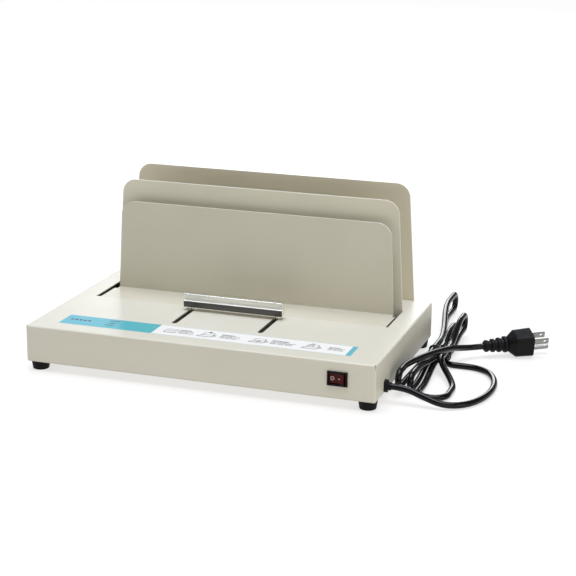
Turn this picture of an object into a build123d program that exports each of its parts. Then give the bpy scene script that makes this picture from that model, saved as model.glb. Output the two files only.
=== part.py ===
"""Thermal binding machine: a flat heated base with a sliding clamp and a cooling rack.

All sizes are in millimetres.  X runs to the right, Y to the back and Z up.  The origin is
on the surface that the four feet stand on, below the middle of the casing.
"""

import os
from math import cos, dist, pi, radians, sin, sqrt, tan

from build123d import *

os.makedirs("parts", exist_ok=True)

# ---------------------------------------------------------------- driving dimensions
# Casing of folded sheet steel
casing_width = 380.0
casing_depth = 232.0
casing_height = 39.0
sheet = 1.2
bend_radius = 2.0
lip_width = 9.0
lip_half_length = 9.0
relief_radius = 0.9

# Feet
foot_height = 10.0
foot_top_radius = 10.0
foot_bottom_radius = 8.5
foot_inset_side = 10.5
foot_inset_end = 11.5

# Window in the top, the binding slot and the cooling rack
window_side_margin = 22.0
window_front_y = 9.0
middle_plate_y = 71.0
plate_corner_radius = 16.0
front_plate_rise = 99.4
front_plate_side_gap = 3.5
front_plate_taper = 5.0
middle_plate_rise = 121.5
middle_plate_side_gap = 0.6
middle_plate_taper = 7.4
rear_plate_rise = 131.0
rear_plate_side_lap = 1.0
rear_plate_taper = 9.0
rear_plate_drop = 31.0

# Sliding clamp
slide_forward = 41.0
slide_back = 11.3
closed_slot = 1.3
slab_gap = 0.4
slab_side_gap = 3.5
slab_length = 121.2
slab_notch_length = 6.0
pad_width = 9.0
pad_side_margin = 7.0
pad_length = 18.0
pad_height = 2.0
pad_running_gap = 0.2
pad_front_place = 32.0
pad_rear_place = 92.0
handle_behind_front = 59.8
handle_half_length = 56.0
handle_half_spacing = 48.0
handle_depth = 10.0
handle_height = 15.0
handle_band = 6.0
handle_lift = 4.0
cove_depth = 2.6
handle_rim = 1.2
post_radius = 2.5
post_slot_width = 6.0
post_slot_spare = 9.0

# Guide rails
rail_width = 11.0
rail_wall = 1.5
rail_front_y = -82.0

# Heater
heater_rail_gap = 4.0
heater_front_gap = 1.5
heater_back_gap = 2.0
heater_thickness = 3.0
heater_below_top = 9.5
mat_thickness = 1.5
insulation_thickness = 4.0
shield_sheet = 1.0
shield_edge = 5.0
end_bay_length = 30.0
stack_margin = 3.0
standoff_radius = 5.0
heater_screw_inset = 10.0
thermostat_radius = 7.0
thermostat_height = 10.0
fuse_radius = 2.2
fuse_length = 12.0

# Rocker switch in the front wall
switch_side_margin = 39.0
switch_height = 21.0
bezel_width = 21.0
bezel_height = 15.0
bezel_thickness = 2.0
switch_width = 19.0
switch_tall = 13.0
switch_depth = 17.0
rocker_half_width = 7.6
rocker_half_height = 5.2
rocker_swing = 20.0

# Label on the casing's top
label_left_margin = 28.0
label_right_margin = 32.0
label_front = 19.5
label_depth = 31.0
label_thickness = 0.15

# Mains cord, its gland and its plug
cord_diameter = 6.8
gland_y = -81.0
gland_height = 17.0
gland_width = 9.0
gland_tall = 13.4
gland_thickness = 3.6
gland_nose = 3.0
gland_neck_width = 7.4
gland_neck_tall = 9.4
cord_pitch = 7.4
plug_length = 19.0
plug_width = 25.0
plug_tall = 26.0

# Fasteners: head radius, head height, shank radius, shank length
sheet_screw = (3.0, 2.0, 1.5, 3.4)
foot_screw = (3.6, 2.4, 2.0, 9.6)
post_screw = (3.0, 2.2, 1.5, 14.0)
small_screw = (2.0, 1.2, 1.0, 3.2)
shank_play = 0.1
side_gap = 0.3

# ---------------------------------------------------------------- places that follow
half_width = casing_width / 2
window_half_width = half_width - window_side_margin
front_y = -casing_depth / 2
rear_y = casing_depth / 2
base_low = foot_height
base_top = base_low + sheet
casing_top = base_low + casing_height
casing_under = casing_top - sheet

middle_plate_back = middle_plate_y + sheet
window_rear_y = middle_plate_back + side_gap
clamp_back_y = middle_plate_y - closed_slot - slide_back
clamp_face_y = clamp_back_y - sheet
slab_top = casing_under - slab_gap
slab_low = slab_top - sheet
slab_half_width = window_half_width - slab_side_gap
slab_front_y = clamp_back_y - slab_length
handle_y = slab_front_y + handle_behind_front
pad_low = slab_low - pad_height
rail_top = pad_low - pad_running_gap
pad_half_place = slab_half_width - pad_side_margin
rail_half_place = pad_half_place - rail_width / 2

front_plate_half_foot = slab_half_width - front_plate_side_gap
middle_plate_half_foot = window_half_width - middle_plate_side_gap
rear_plate_half_foot = window_half_width + rear_plate_side_lap

heater_half_length = rail_half_place - heater_rail_gap
heater_front_y = window_front_y - heater_front_gap
heater_back_y = middle_plate_y - heater_back_gap
heater_depth = heater_back_y - heater_front_y
heater_top = casing_top - heater_below_top
heater_low = heater_top - heater_thickness
mat_low = heater_low - mat_thickness
insulation_low = mat_low - insulation_thickness
shield_low = insulation_low - shield_sheet
heater_mid_y = heater_front_y + heater_depth / 2
stack_half_depth = heater_depth / 2 - stack_margin
stack_half_length = heater_half_length - end_bay_length
end_bay_x = (heater_half_length + stack_half_length) / 2

switch_x = half_width - switch_side_margin
label_left = label_left_margin - half_width
label_right = half_width - label_right_margin

ON_TOP = (Align.CENTER, Align.CENTER, Align.MIN)
BELOW = (Align.CENTER, Align.CENTER, Align.MAX)


# ---------------------------------------------------------------- helpers
def save(piece, name):
    """Label a finished piece and write it as its own file."""
    piece.part.label = name
    export_step(piece.part, f"parts/{name}.step")


def block(x_span, y_span, z_span, mode=Mode.ADD):
    """Add or cut a box that runs between two corners."""
    spans = (x_span, y_span, z_span)
    with Locations(tuple(sum(span) / 2 for span in spans)):
        Box(*[span[1] - span[0] for span in spans], mode=mode)


def screws(planes, screw):
    """Add cross-head screws whose heads stand on the given planes."""
    head_radius, head_height, shank_radius, shank_length = screw
    with Locations(*planes):
        Cylinder(head_radius, head_height, align=ON_TOP)
        Cylinder(shank_radius, shank_length, align=BELOW)
        with Locations((0, 0, head_height)):
            Box(1.1 * head_radius, 0.25 * head_radius, head_height / 2, align=BELOW, mode=Mode.SUBTRACT)
            Box(0.25 * head_radius, 1.1 * head_radius, head_height / 2, align=BELOW, mode=Mode.SUBTRACT)


def screw_holes(planes, screw):
    """Cut the holes that the shanks of such screws pass through."""
    with Locations(*planes):
        Cylinder(screw[2] + shank_play, 2 * screw[3], mode=Mode.SUBTRACT)


def facing(points, direction):
    """Planes at the points that all face one way."""
    return [Plane(origin=point, z_dir=direction) for point in points]


def corner_radii(points):
    """As large an arc at each corner of a route as its two runs allow."""
    radii = []
    for before, corner, after in zip(points, points[1:], points[2:]):
        run_in = Vector(*corner) - Vector(*before)
        run_out = Vector(*after) - Vector(*corner)
        half_turn = radians(run_in.get_angle(run_out)) / 2
        radii.append(0.45 * min(run_in.length, run_out.length) / tan(half_turn))
    return radii


def add_tube(points, radius):
    """Add a round tube along straight runs and tangent arcs, and give its path back."""
    with BuildLine() as route:
        FilletPolyline(*points, radius=corner_radii(points))
    path = route.wires()[0]
    with BuildSketch(Plane(origin=path @ 0, z_dir=path % 0)) as section:
        Circle(radius)
    sweep(section.sketch, path=path)
    return path


def evenly(reach, count):
    """Evenly spaced places from one end of a reach to the other."""
    return [reach * (2 * index / (count - 1) - 1) for index in range(count)]


def draw_upright(half_foot, taper, foot_z, top_z):
    """Draw an upright plate that narrows a little towards its round top corners."""
    half_top = half_foot - taper
    Polygon((-half_foot, foot_z), (half_foot, foot_z), (half_top, top_z), (-half_top, top_z), align=None)
    fillet(vertices().group_by(Axis.Y)[-1], plate_corner_radius)


# ---------------------------------------------------------------- fixing places
foot_places = {
    "front_left": (-half_width + foot_inset_side, front_y + foot_inset_end),
    "front_right": (half_width - foot_inset_side, front_y + foot_inset_end),
    "rear_left": (-half_width + foot_inset_side, rear_y - foot_inset_end),
    "rear_right": (half_width - foot_inset_side, rear_y - foot_inset_end),
}
lip_x = half_width - sheet - lip_width / 2
lip_half_spacing = 60.0
lip_ys = (-lip_half_spacing, lip_half_spacing)
lip_screw_points = [(side * lip_x, y, base_low) for side in (-1, 1) for y in lip_ys]
lip_screw_planes = facing(lip_screw_points, (0, 0, -1))
rear_screw_z = casing_top - rear_plate_drop / 2
end_screw_margin = 29.0
rear_screw_points = [
    (x, rear_y + sheet, rear_screw_z) for x in evenly(rear_plate_half_foot - end_screw_margin, 4)
]
rear_screw_planes = facing(rear_screw_points, (0, 1, 0))
middle_flange = 12.0
middle_screw_y = middle_plate_back + middle_flange / 2
middle_flange_margin = 32.0
middle_screw_points = [
    (x, middle_screw_y, base_top + sheet) for x in evenly(rail_half_place - middle_flange_margin, 4)
]
middle_screw_planes = facing(middle_screw_points, (0, 0, 1))
rail_back_gap = 3.0
rail_back_y = middle_plate_y - rail_back_gap
rail_screw_margin = 14.0
rail_screw_x = rail_half_place + (rail_width + rail_wall) / 2
rail_screw_points = [
    (side * rail_screw_x, y, base_top + rail_wall)
    for side in (-1, 1)
    for y in (rail_front_y + rail_screw_margin, rail_back_y - rail_screw_margin)
]
rail_screw_planes = facing(rail_screw_points, (0, 0, 1))
heater_screw_x = stack_half_length - heater_screw_inset
heater_screw_y = stack_half_depth - heater_screw_inset / 2
heater_screw_xy = [
    (side * heater_screw_x, heater_mid_y + end * heater_screw_y) for side in (-1, 1) for end in (-1, 1)
]
heater_screw_radius = 1.5
heater_screw_head = 3.0
block_x = (rail_half_place + rail_width + half_width - sheet) / 2
block_y = -35.0
block_size = (20.0, 30.0, 14.0)
earth_gap = 26.0
earth_point = (block_x, block_y + block_size[1] / 2 + earth_gap, base_top)
earth_radius = 2.0

# ---------------------------------------------------------------- casing
gland_plane = Plane(origin=(half_width, gland_y, gland_height), x_dir=(0, 1, 0), z_dir=(1, 0, 0))
slot_front_y = handle_y - slide_forward - post_slot_spare

with BuildPart() as top_casing:
    with BuildSketch(Plane.XY.offset(base_top)):
        Rectangle(casing_width, casing_depth)
    extrude(amount=casing_top - base_top)
    outer_edges = top_casing.edges().filter_by(Axis.Z) + top_casing.faces().sort_by(Axis.Z)[-1].edges()
    fillet(outer_edges, bend_radius)
    with BuildSketch(Plane.XY.offset(base_top)):
        RectangleRounded(casing_width - 2 * sheet, casing_depth - 2 * sheet, bend_radius - sheet / 2)
    extrude(amount=casing_under - base_top, mode=Mode.SUBTRACT)
    for side in (-1, 1):
        lip_span = sorted((side * (half_width - sheet - lip_width), side * (half_width - sheet / 2)))
        for y in lip_ys:
            block(lip_span, (y - lip_half_length, y + lip_half_length), (base_top, base_top + sheet))
    screw_holes(lip_screw_planes, sheet_screw)
    screw_holes(rear_screw_planes, sheet_screw)
    block((-window_half_width, window_half_width), (window_front_y, window_rear_y),
          (casing_under - 1, casing_top + 1), Mode.SUBTRACT)
    for side in (-1, 1):
        with BuildSketch(Plane.XY.offset(casing_under - 1)):
            with Locations((side * handle_half_spacing, (slot_front_y + window_front_y) / 2)):
                Rectangle(post_slot_width, window_front_y - slot_front_y)
            with Locations((side * handle_half_spacing, slot_front_y)):
                Circle(post_slot_width / 2)
        extrude(amount=sheet + 2, mode=Mode.SUBTRACT)
    with Locations((switch_x, front_y, base_low + switch_height)):
        Box(switch_width + 0.2, 4 * sheet, switch_tall + 0.2, mode=Mode.SUBTRACT)
    with BuildSketch(gland_plane):
        SlotOverall(gland_neck_tall + 0.2, gland_neck_width + 0.2, rotation=90)
    extrude(amount=4 * sheet, both=True, mode=Mode.SUBTRACT)
    corner_x = half_width - sheet
    corner_y = rear_y - sheet
    with GridLocations(2 * corner_x, 2 * corner_y, 2, 2):
        with Locations((0, 0, casing_top)):
            Cylinder(relief_radius, 8 * sheet, mode=Mode.SUBTRACT)
save(top_casing, "top_casing")

vent_length = 40.0
vent_width = 4.0
vent_pitch_x = 100.0
vent_pitch_y = 10.0
vent_mid_y = -45.0
foot_planes = facing([(x, y, base_top) for x, y in foot_places.values()], (0, 0, 1))
with BuildPart() as base_plate:
    with BuildSketch(Plane.XY.offset(base_low)):
        RectangleRounded(casing_width - 0.6, casing_depth - 0.6, bend_radius)
    extrude(amount=sheet)
    with BuildSketch(Plane.XY.offset(base_low)):
        with Locations((0, vent_mid_y)):
            with GridLocations(vent_pitch_x, vent_pitch_y, 3, 4):
                SlotOverall(vent_length, vent_width)
    extrude(amount=sheet, mode=Mode.SUBTRACT)
    screw_holes(foot_planes, foot_screw)
    screw_holes(lip_screw_planes, sheet_screw)
    screw_holes(middle_screw_planes, sheet_screw)
    screw_holes(rail_screw_planes, sheet_screw)
    with Locations(*[(x, y, base_top) for x, y in heater_screw_xy]):
        Cylinder(heater_screw_radius + shank_play, 4 * sheet, mode=Mode.SUBTRACT)
    with Locations(earth_point):
        Cylinder(earth_radius + shank_play, 4 * sheet, mode=Mode.SUBTRACT)
save(base_plate, "base_plate")

# ---------------------------------------------------------------- feet
foot_well = 5.0
for place, (x, y) in foot_places.items():
    with BuildPart() as foot:
        with BuildSketch(Plane.XY.offset(0)):
            with Locations((x, y)):
                Circle(foot_bottom_radius)
        with BuildSketch(Plane.XY.offset(foot_height)):
            with Locations((x, y)):
                Circle(foot_top_radius)
        loft()
        fillet(foot.faces().sort_by(Axis.Z)[0].edges(), 1.0)
        with Locations((x, y, 0)):
            Cylinder(foot_screw[0] + 0.6, foot_well, align=ON_TOP, mode=Mode.SUBTRACT)
            Cylinder(foot_screw[2] + shank_play, foot_height, align=ON_TOP, mode=Mode.SUBTRACT)
    save(foot, f"foot_{place}")

foot_head_points = [(x, y, foot_well) for x, y in foot_places.values()]
with BuildPart() as foot_screws:
    screws(facing(foot_head_points, (0, 0, -1)), foot_screw)
save(foot_screws, "foot_screws")

with BuildPart() as foot_nuts:
    for x, y in foot_places.values():
        with BuildSketch(Plane.XY.offset(base_top)):
            with Locations((x, y)):
                RegularPolygon(3.8, 6)
                Circle(foot_screw[2] + shank_play / 2, mode=Mode.SUBTRACT)
        extrude(amount=3.0)
save(foot_nuts, "foot_nuts")

with BuildPart() as casing_screws:
    screws(lip_screw_planes, sheet_screw)
save(casing_screws, "casing_screws")

# ---------------------------------------------------------------- upright plates
rear_low = casing_top - rear_plate_drop
with BuildPart() as rear_plate:
    with BuildSketch(Plane.XZ.offset(-rear_y - sheet)):
        draw_upright(rear_plate_half_foot, rear_plate_taper, casing_top, casing_top + rear_plate_rise)
        with Locations((0, (rear_low + casing_top) / 2)):
            Rectangle(2 * rear_plate_half_foot, casing_top - rear_low)
    extrude(amount=sheet)
    screw_holes(rear_screw_planes, sheet_screw)
save(rear_plate, "rear_plate")

with BuildPart() as rear_plate_screws:
    screws(rear_screw_planes, sheet_screw)
save(rear_plate_screws, "rear_plate_screws")

middle_low_half = rail_half_place - side_gap
with BuildPart() as middle_plate:
    with BuildSketch(Plane.XZ.offset(-middle_plate_back)):
        draw_upright(middle_plate_half_foot, middle_plate_taper, casing_under, casing_top + middle_plate_rise)
        with Locations((0, (base_top + casing_under) / 2)):
            Rectangle(2 * middle_plate_half_foot, casing_under - base_top)
    extrude(amount=sheet)
    block((-middle_low_half, middle_low_half), (middle_plate_y, middle_plate_back + middle_flange),
          (base_top, base_top + sheet))
    screw_holes(middle_screw_planes, sheet_screw)
save(middle_plate, "middle_plate")

with BuildPart() as middle_plate_screws:
    screws(middle_screw_planes, sheet_screw)
save(middle_plate_screws, "middle_plate_screws")

# ---------------------------------------------------------------- sliding clamp
pad_points = [
    (side * pad_half_place, slab_front_y + place)
    for side in (-1, 1)
    for place in (pad_front_place, pad_rear_place)
]
handle_xs = (-handle_half_spacing, handle_half_spacing)
pad_stud_radius = 2.0
front_plate_top = casing_top + front_plate_rise
inner_bend = bend_radius - sheet
with BuildPart() as clamp_plate:
    with BuildSketch(Plane.YZ.offset(-slab_half_width)):
        with Locations(((slab_front_y + clamp_back_y) / 2, (slab_low + slab_top) / 2)):
            Rectangle(clamp_back_y - slab_front_y, sheet)
        with Locations(((clamp_face_y + clamp_back_y) / 2, (slab_low + front_plate_top) / 2)):
            Rectangle(sheet, front_plate_top - slab_low)
        fillet(vertices().sort_by_distance((clamp_back_y, slab_low))[0], bend_radius)
        fillet(vertices().sort_by_distance((clamp_face_y, slab_top))[0], inner_bend)
    extrude(amount=2 * slab_half_width)
    with BuildSketch(Plane.XZ.offset(-clamp_back_y - 1)):
        draw_upright(front_plate_half_foot, front_plate_taper, slab_top, front_plate_top)
        with Locations((0, (slab_low + slab_top) / 2)):
            Rectangle(2 * slab_half_width, sheet)
    extrude(amount=clamp_back_y - slab_front_y + 2, mode=Mode.INTERSECT)
    for side in (-1, 1):
        block(sorted((side * front_plate_half_foot, side * window_half_width)),
              (clamp_face_y - slab_notch_length, clamp_back_y + 1), (slab_low - 1, slab_top), mode=Mode.SUBTRACT)
    with Locations(*[(x, handle_y, slab_low) for x in handle_xs]):
        Cylinder(post_screw[2] + shank_play, 4 * sheet, mode=Mode.SUBTRACT)
    with Locations(*[(x, y, slab_low) for x, y in pad_points]):
        Cylinder(pad_stud_radius + shank_play, 4 * sheet, mode=Mode.SUBTRACT)
save(clamp_plate, "clamp_plate")

with BuildPart() as glide_pads:
    for x, y in pad_points:
        block((x - pad_width / 2, x + pad_width / 2), (y - pad_length / 2, y + pad_length / 2),
              (pad_low, slab_low))
    with Locations(*[(x, y, slab_low) for x, y in pad_points]):
        Cylinder(pad_stud_radius, sheet, align=ON_TOP)
save(glide_pads, "glide_pads")

bar_low = casing_top + handle_lift
bar_top = bar_low + handle_height
bar_front_y = handle_y - handle_depth / 2
bar_back_y = handle_y + handle_depth / 2
cove_low = bar_low + handle_band
cove_top = bar_top - handle_rim
bar_hole_depth = 9.0
with BuildPart() as handle_bar:
    with BuildSketch(Plane.YZ.offset(-handle_half_length)):
        with BuildLine():
            Polyline((bar_front_y, cove_low), (bar_front_y, bar_low), (bar_back_y, bar_low),
                     (bar_back_y, bar_top), (bar_front_y, bar_top), (bar_front_y, cove_top))
            ThreePointArc((bar_front_y, cove_top), (bar_front_y + cove_depth, (cove_low + cove_top) / 2),
                          (bar_front_y, cove_low))
        make_face()
    extrude(amount=2 * handle_half_length)
    fillet(handle_bar.faces().sort_by(Axis.Z)[-1].edges(), 0.5)
    with Locations(*[(x, handle_y, bar_low) for x in handle_xs]):
        Cylinder(post_screw[2] + shank_play / 2, 2 * bar_hole_depth, mode=Mode.SUBTRACT)
save(handle_bar, "handle_bar")

with BuildPart() as handle_posts:
    with Locations(*[(x, handle_y, slab_top) for x in handle_xs]):
        Cylinder(post_radius, bar_low - slab_top, align=ON_TOP)
        Cylinder(post_screw[2] + shank_play, bar_low - slab_top, align=ON_TOP, mode=Mode.SUBTRACT)
save(handle_posts, "handle_posts")

washer_thickness = 0.5
post_screw_planes = facing([(x, handle_y, slab_low - washer_thickness) for x in handle_xs], (0, 0, -1))
with BuildPart() as handle_washers:
    with Locations(*[(x, handle_y, slab_low - washer_thickness) for x in handle_xs]):
        Cylinder(post_screw[0] + 1.0, washer_thickness, align=ON_TOP)
        Cylinder(post_screw[2] + shank_play, washer_thickness, align=ON_TOP, mode=Mode.SUBTRACT)
save(handle_washers, "handle_washers")

with BuildPart() as handle_screws:
    screws(post_screw_planes, post_screw)
save(handle_screws, "handle_screws")

# ---------------------------------------------------------------- guide rails
for side, name in ((-1, "guide_rail_left"), (1, "guide_rail_right")):
    web = sorted((side * rail_half_place, side * (rail_half_place + rail_wall)))
    flange = sorted((side * rail_half_place, side * (rail_half_place + rail_width)))
    with BuildPart() as guide_rail:
        block(web, (rail_front_y, rail_back_y), (base_top, rail_top))
        block(flange, (rail_front_y, rail_back_y), (base_top, base_top + rail_wall))
        block(flange, (rail_front_y, rail_back_y), (rail_top - rail_wall, rail_top))
        screw_holes(rail_screw_planes, sheet_screw)
    save(guide_rail, name)

with BuildPart() as rail_screws:
    screws(rail_screw_planes, sheet_screw)
save(rail_screws, "rail_screws")

# ---------------------------------------------------------------- heater stack
thermostat_spot = (end_bay_x, heater_mid_y, heater_low)
thermostat_screw_places = [(end_bay_x, heater_mid_y + end * 11.0) for end in (-1, 1)]
clip_screw_y = heater_mid_y + fuse_radius + 5.0
heater_tops = [(x, y, heater_top) for x, y in heater_screw_xy]


def stack_block(low, thickness):
    """Add one layer of the stack below the hot plate, with its four screw holes."""
    y_span = (heater_mid_y - stack_half_depth, heater_mid_y + stack_half_depth)
    block((-stack_half_length, stack_half_length), y_span, (low, low + thickness))
    with Locations(*[(x, y, low) for x, y in heater_screw_xy]):
        Cylinder(heater_screw_radius + shank_play, 2 * thickness, mode=Mode.SUBTRACT)


with BuildPart() as heater_plate:
    block((-heater_half_length, heater_half_length), (heater_front_y, heater_back_y),
          (heater_low, heater_top))
    fillet(heater_plate.edges().filter_by(Axis.Z), 3.0)
    with Locations(*heater_tops):
        CounterSinkHole(heater_screw_radius + shank_play, heater_screw_head + shank_play,
                        counter_sink_angle=90)
    with Locations(*[(x, y, heater_low) for x, y in thermostat_screw_places + [(-end_bay_x, clip_screw_y)]]):
        Cylinder(small_screw[2] + shank_play, 2 * 2.6, mode=Mode.SUBTRACT)
save(heater_plate, "heater_plate")

with BuildPart() as heating_mat:
    stack_block(mat_low, mat_thickness)
save(heating_mat, "heating_mat")

with BuildPart() as insulation_board:
    stack_block(insulation_low, insulation_thickness)
save(insulation_board, "insulation_board")

with BuildPart() as heat_shield:
    stack_block(shield_low, shield_sheet)
    for side in (-1, 1):
        wall_inner = heater_mid_y + side * (stack_half_depth + side_gap)
        wall_span = sorted((wall_inner, wall_inner + side * shield_sheet))
        floor_span = sorted((wall_inner - side, wall_inner + side * shield_sheet))
        block((-stack_half_length, stack_half_length), wall_span, (shield_low, shield_low + shield_edge))
        block((-stack_half_length, stack_half_length), floor_span, (shield_low, shield_low + shield_sheet))
save(heat_shield, "heat_shield")

with BuildPart() as ceramic_standoffs:
    with Locations(*[(x, y, base_top) for x, y in heater_screw_xy]):
        Cylinder(standoff_radius, shield_low - base_top, align=ON_TOP)
        Cylinder(heater_screw_radius + shank_play, shield_low - base_top, align=ON_TOP, mode=Mode.SUBTRACT)
save(ceramic_standoffs, "ceramic_standoffs")

with BuildPart() as heater_screws:
    with Locations(*heater_tops):
        Cylinder(heater_screw_radius, heater_top - base_low + 0.8, align=BELOW)
        Cone(heater_screw_radius, heater_screw_head, heater_screw_head - heater_screw_radius, align=BELOW)
        Box(3.6, 0.7, 1.0, align=BELOW, mode=Mode.SUBTRACT)
        Box(0.7, 3.6, 1.0, align=BELOW, mode=Mode.SUBTRACT)
save(heater_screws, "heater_screws")

ear_thickness = 0.8
ear_length = 13.5
tag_reach = 6.0
tag_half_width = 1.6
tag_z = heater_low - thermostat_height + 1.4
tag_front_y = heater_mid_y - thermostat_radius - tag_reach
tag_back_y = heater_mid_y + thermostat_radius + tag_reach
with BuildPart() as thermostat:
    with Locations(thermostat_spot):
        Cylinder(thermostat_radius, thermostat_height, align=BELOW)
        Box(5.0, 2 * ear_length, ear_thickness, align=BELOW)
    with Locations(*[(x, y, heater_low) for x, y in thermostat_screw_places]):
        Cylinder(small_screw[2] + shank_play, 4 * ear_thickness, mode=Mode.SUBTRACT)
    for end in (-1, 1):
        tag_span = sorted((heater_mid_y + end * (thermostat_radius - 1),
                           heater_mid_y + end * (thermostat_radius + tag_reach)))
        block((end_bay_x - tag_half_width, end_bay_x + tag_half_width), tag_span,
              (tag_z - ear_thickness / 2, tag_z + ear_thickness / 2))
save(thermostat, "thermostat")

thermostat_screw_points = [(x, y, heater_low - ear_thickness) for x, y in thermostat_screw_places]
with BuildPart() as thermostat_screws:
    screws(facing(thermostat_screw_points, (0, 0, -1)), small_screw)
save(thermostat_screws, "thermostat_screws")

fuse_z = heater_low - fuse_radius - 0.3
with BuildPart() as thermal_fuse:
    with BuildSketch(Plane.YZ.offset(-end_bay_x - fuse_length / 2)):
        with Locations((heater_mid_y, fuse_z)):
            Circle(fuse_radius)
    extrude(amount=fuse_length)
save(thermal_fuse, "thermal_fuse")

clip_sheet = 0.6
clip_outer = fuse_radius + 0.15 + clip_sheet
clip_half_width = 3.0
with BuildPart() as fuse_clip:
    with BuildSketch(Plane.YZ.offset(-end_bay_x - clip_half_width)):
        with Locations((heater_mid_y, fuse_z)):
            Circle(clip_outer)
            Circle(clip_outer - clip_sheet, mode=Mode.SUBTRACT)
        with Locations((heater_mid_y, heater_low)):
            Rectangle(4 * clip_outer, 2 * (heater_low - fuse_z), mode=Mode.SUBTRACT)
        with Locations((heater_mid_y - clip_outer + clip_sheet / 2, (heater_low + fuse_z) / 2)):
            Rectangle(clip_sheet, heater_low - fuse_z)
        with Locations((heater_mid_y + clip_outer - clip_sheet / 2, (heater_low + fuse_z) / 2)):
            Rectangle(clip_sheet, heater_low - fuse_z)
        tab_span = (heater_mid_y + clip_outer - clip_sheet, clip_screw_y + 3.0)
        with Locations((sum(tab_span) / 2, heater_low - clip_sheet / 2)):
            Rectangle(tab_span[1] - tab_span[0], clip_sheet)
    extrude(amount=2 * clip_half_width)
    with Locations((-end_bay_x, clip_screw_y, heater_low)):
        Cylinder(small_screw[2] + shank_play, 4 * clip_sheet, mode=Mode.SUBTRACT)
save(fuse_clip, "fuse_clip")

with BuildPart() as fuse_clip_screw:
    screws(facing([(-end_bay_x, clip_screw_y, heater_low - clip_sheet)], (0, 0, -1)), small_screw)
save(fuse_clip_screw, "fuse_clip_screw")

# ---------------------------------------------------------------- rocker switch
switch_z = base_low + switch_height
switch_back_y = front_y + switch_depth
pivot_y = front_y + 3.1
pivot_radius = 1.0
cavity_depth = 9.0
cavity_half_width = rocker_half_width + 1.1
cavity_half_height = rocker_half_height + side_gap
bezel_y = front_y - bezel_thickness
with BuildPart() as switch_body:
    block((switch_x - bezel_width / 2, switch_x + bezel_width / 2), (bezel_y, front_y),
          (switch_z - bezel_height / 2, switch_z + bezel_height / 2))
    fillet(switch_body.faces().sort_by(Axis.Y)[0].edges(), 0.8)
    block((switch_x - switch_width / 2, switch_x + switch_width / 2), (front_y, switch_back_y),
          (switch_z - switch_tall / 2, switch_z + switch_tall / 2))
    block((switch_x - cavity_half_width, switch_x + cavity_half_width), (bezel_y - 1, bezel_y + cavity_depth),
          (switch_z - cavity_half_height, switch_z + cavity_half_height), Mode.SUBTRACT)
    with Locations((switch_x, pivot_y, switch_z)):
        Cylinder(pivot_radius + 0.06, switch_tall - 0.4, mode=Mode.SUBTRACT)
save(switch_body, "switch_body")

rest_tilt = radians(-rocker_swing / 2)
rocker_along = (cos(rest_tilt), sin(rest_tilt), 0)
rocker_plane = Plane(origin=(switch_x, pivot_y, switch_z), x_dir=rocker_along, z_dir=(0, 0, 1))
rocker_tip = 4.6
rocker_dip = 3.2
with BuildPart() as rocker:
    with BuildSketch(rocker_plane):
        with BuildLine():
            Polyline((-rocker_half_width, 0.4), (-rocker_half_width, -rocker_tip), (0, -rocker_dip),
                     (rocker_half_width, -rocker_tip), (rocker_half_width, 0.4), (0, 2.2), close=True)
        make_face()
    extrude(amount=rocker_half_height, both=True)
    with BuildSketch(rocker_plane):
        Circle(pivot_radius)
    extrude(amount=rocker_half_height + 0.8, both=True)
save(rocker, "rocker")

with BuildPart() as switch_lamp:
    with BuildSketch(Plane.XZ.offset(-bezel_y - cavity_depth)):
        with Locations((switch_x, switch_z)):
            Circle(1.6)
    extrude(amount=1.6)
save(switch_lamp, "switch_lamp")

terminal_half_spacing = 5.5
terminal_xs = (switch_x - terminal_half_spacing, switch_x + terminal_half_spacing)
blade_length = 7.0
terminal_thickness = 0.8
terminal_width = 4.8
with BuildPart() as switch_terminals:
    for x in terminal_xs:
        block((x - terminal_thickness / 2, x + terminal_thickness / 2),
              (switch_back_y, switch_back_y + blade_length),
              (switch_z - terminal_width / 2, switch_z + terminal_width / 2))
save(switch_terminals, "switch_terminals")

# ---------------------------------------------------------------- wiring inside
block_span = [(centre - size / 2, centre + size / 2)
              for centre, size in zip((block_x, block_y, base_top + block_size[2] / 2), block_size)]
block_top = base_top + block_size[2]
pole_xs = (block_x - 6.4, block_x, block_x + 6.4)
with BuildPart() as terminal_block:
    block(*block_span)
    with Locations(*[(x, y, block_top) for x in pole_xs for y in (block_y - 8.0, block_y + 8.0)]):
        Cylinder(2.0, 2 * 5.0, mode=Mode.SUBTRACT)
save(terminal_block, "terminal_block")

with BuildPart() as terminal_screws:
    with Locations(*[(x, y, block_top - 1.0) for x in pole_xs for y in (block_y - 8.0, block_y + 8.0)]):
        Cylinder(1.9, 4.0, align=BELOW)
        Box(3.0, 0.6, 1.2, mode=Mode.SUBTRACT)
save(terminal_screws, "terminal_screws")

with BuildPart() as earth_stud:
    with Locations(earth_point):
        Cylinder(earth_radius, 10.0, align=ON_TOP)
        Cylinder(earth_radius, sheet, align=BELOW)
    with Locations((earth_point[0], earth_point[1], base_low)):
        Cylinder(2 * earth_radius, 1.2, align=BELOW)
save(earth_stud, "earth_stud")

with BuildPart() as earth_nut:
    with BuildSketch(Plane.XY.offset(base_top)):
        with Locations(earth_point[:2]):
            RegularPolygon(3.8, 6)
            Circle(earth_radius + shank_play / 2, mode=Mode.SUBTRACT)
    extrude(amount=3.0)
save(earth_nut, "earth_nut")

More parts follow.
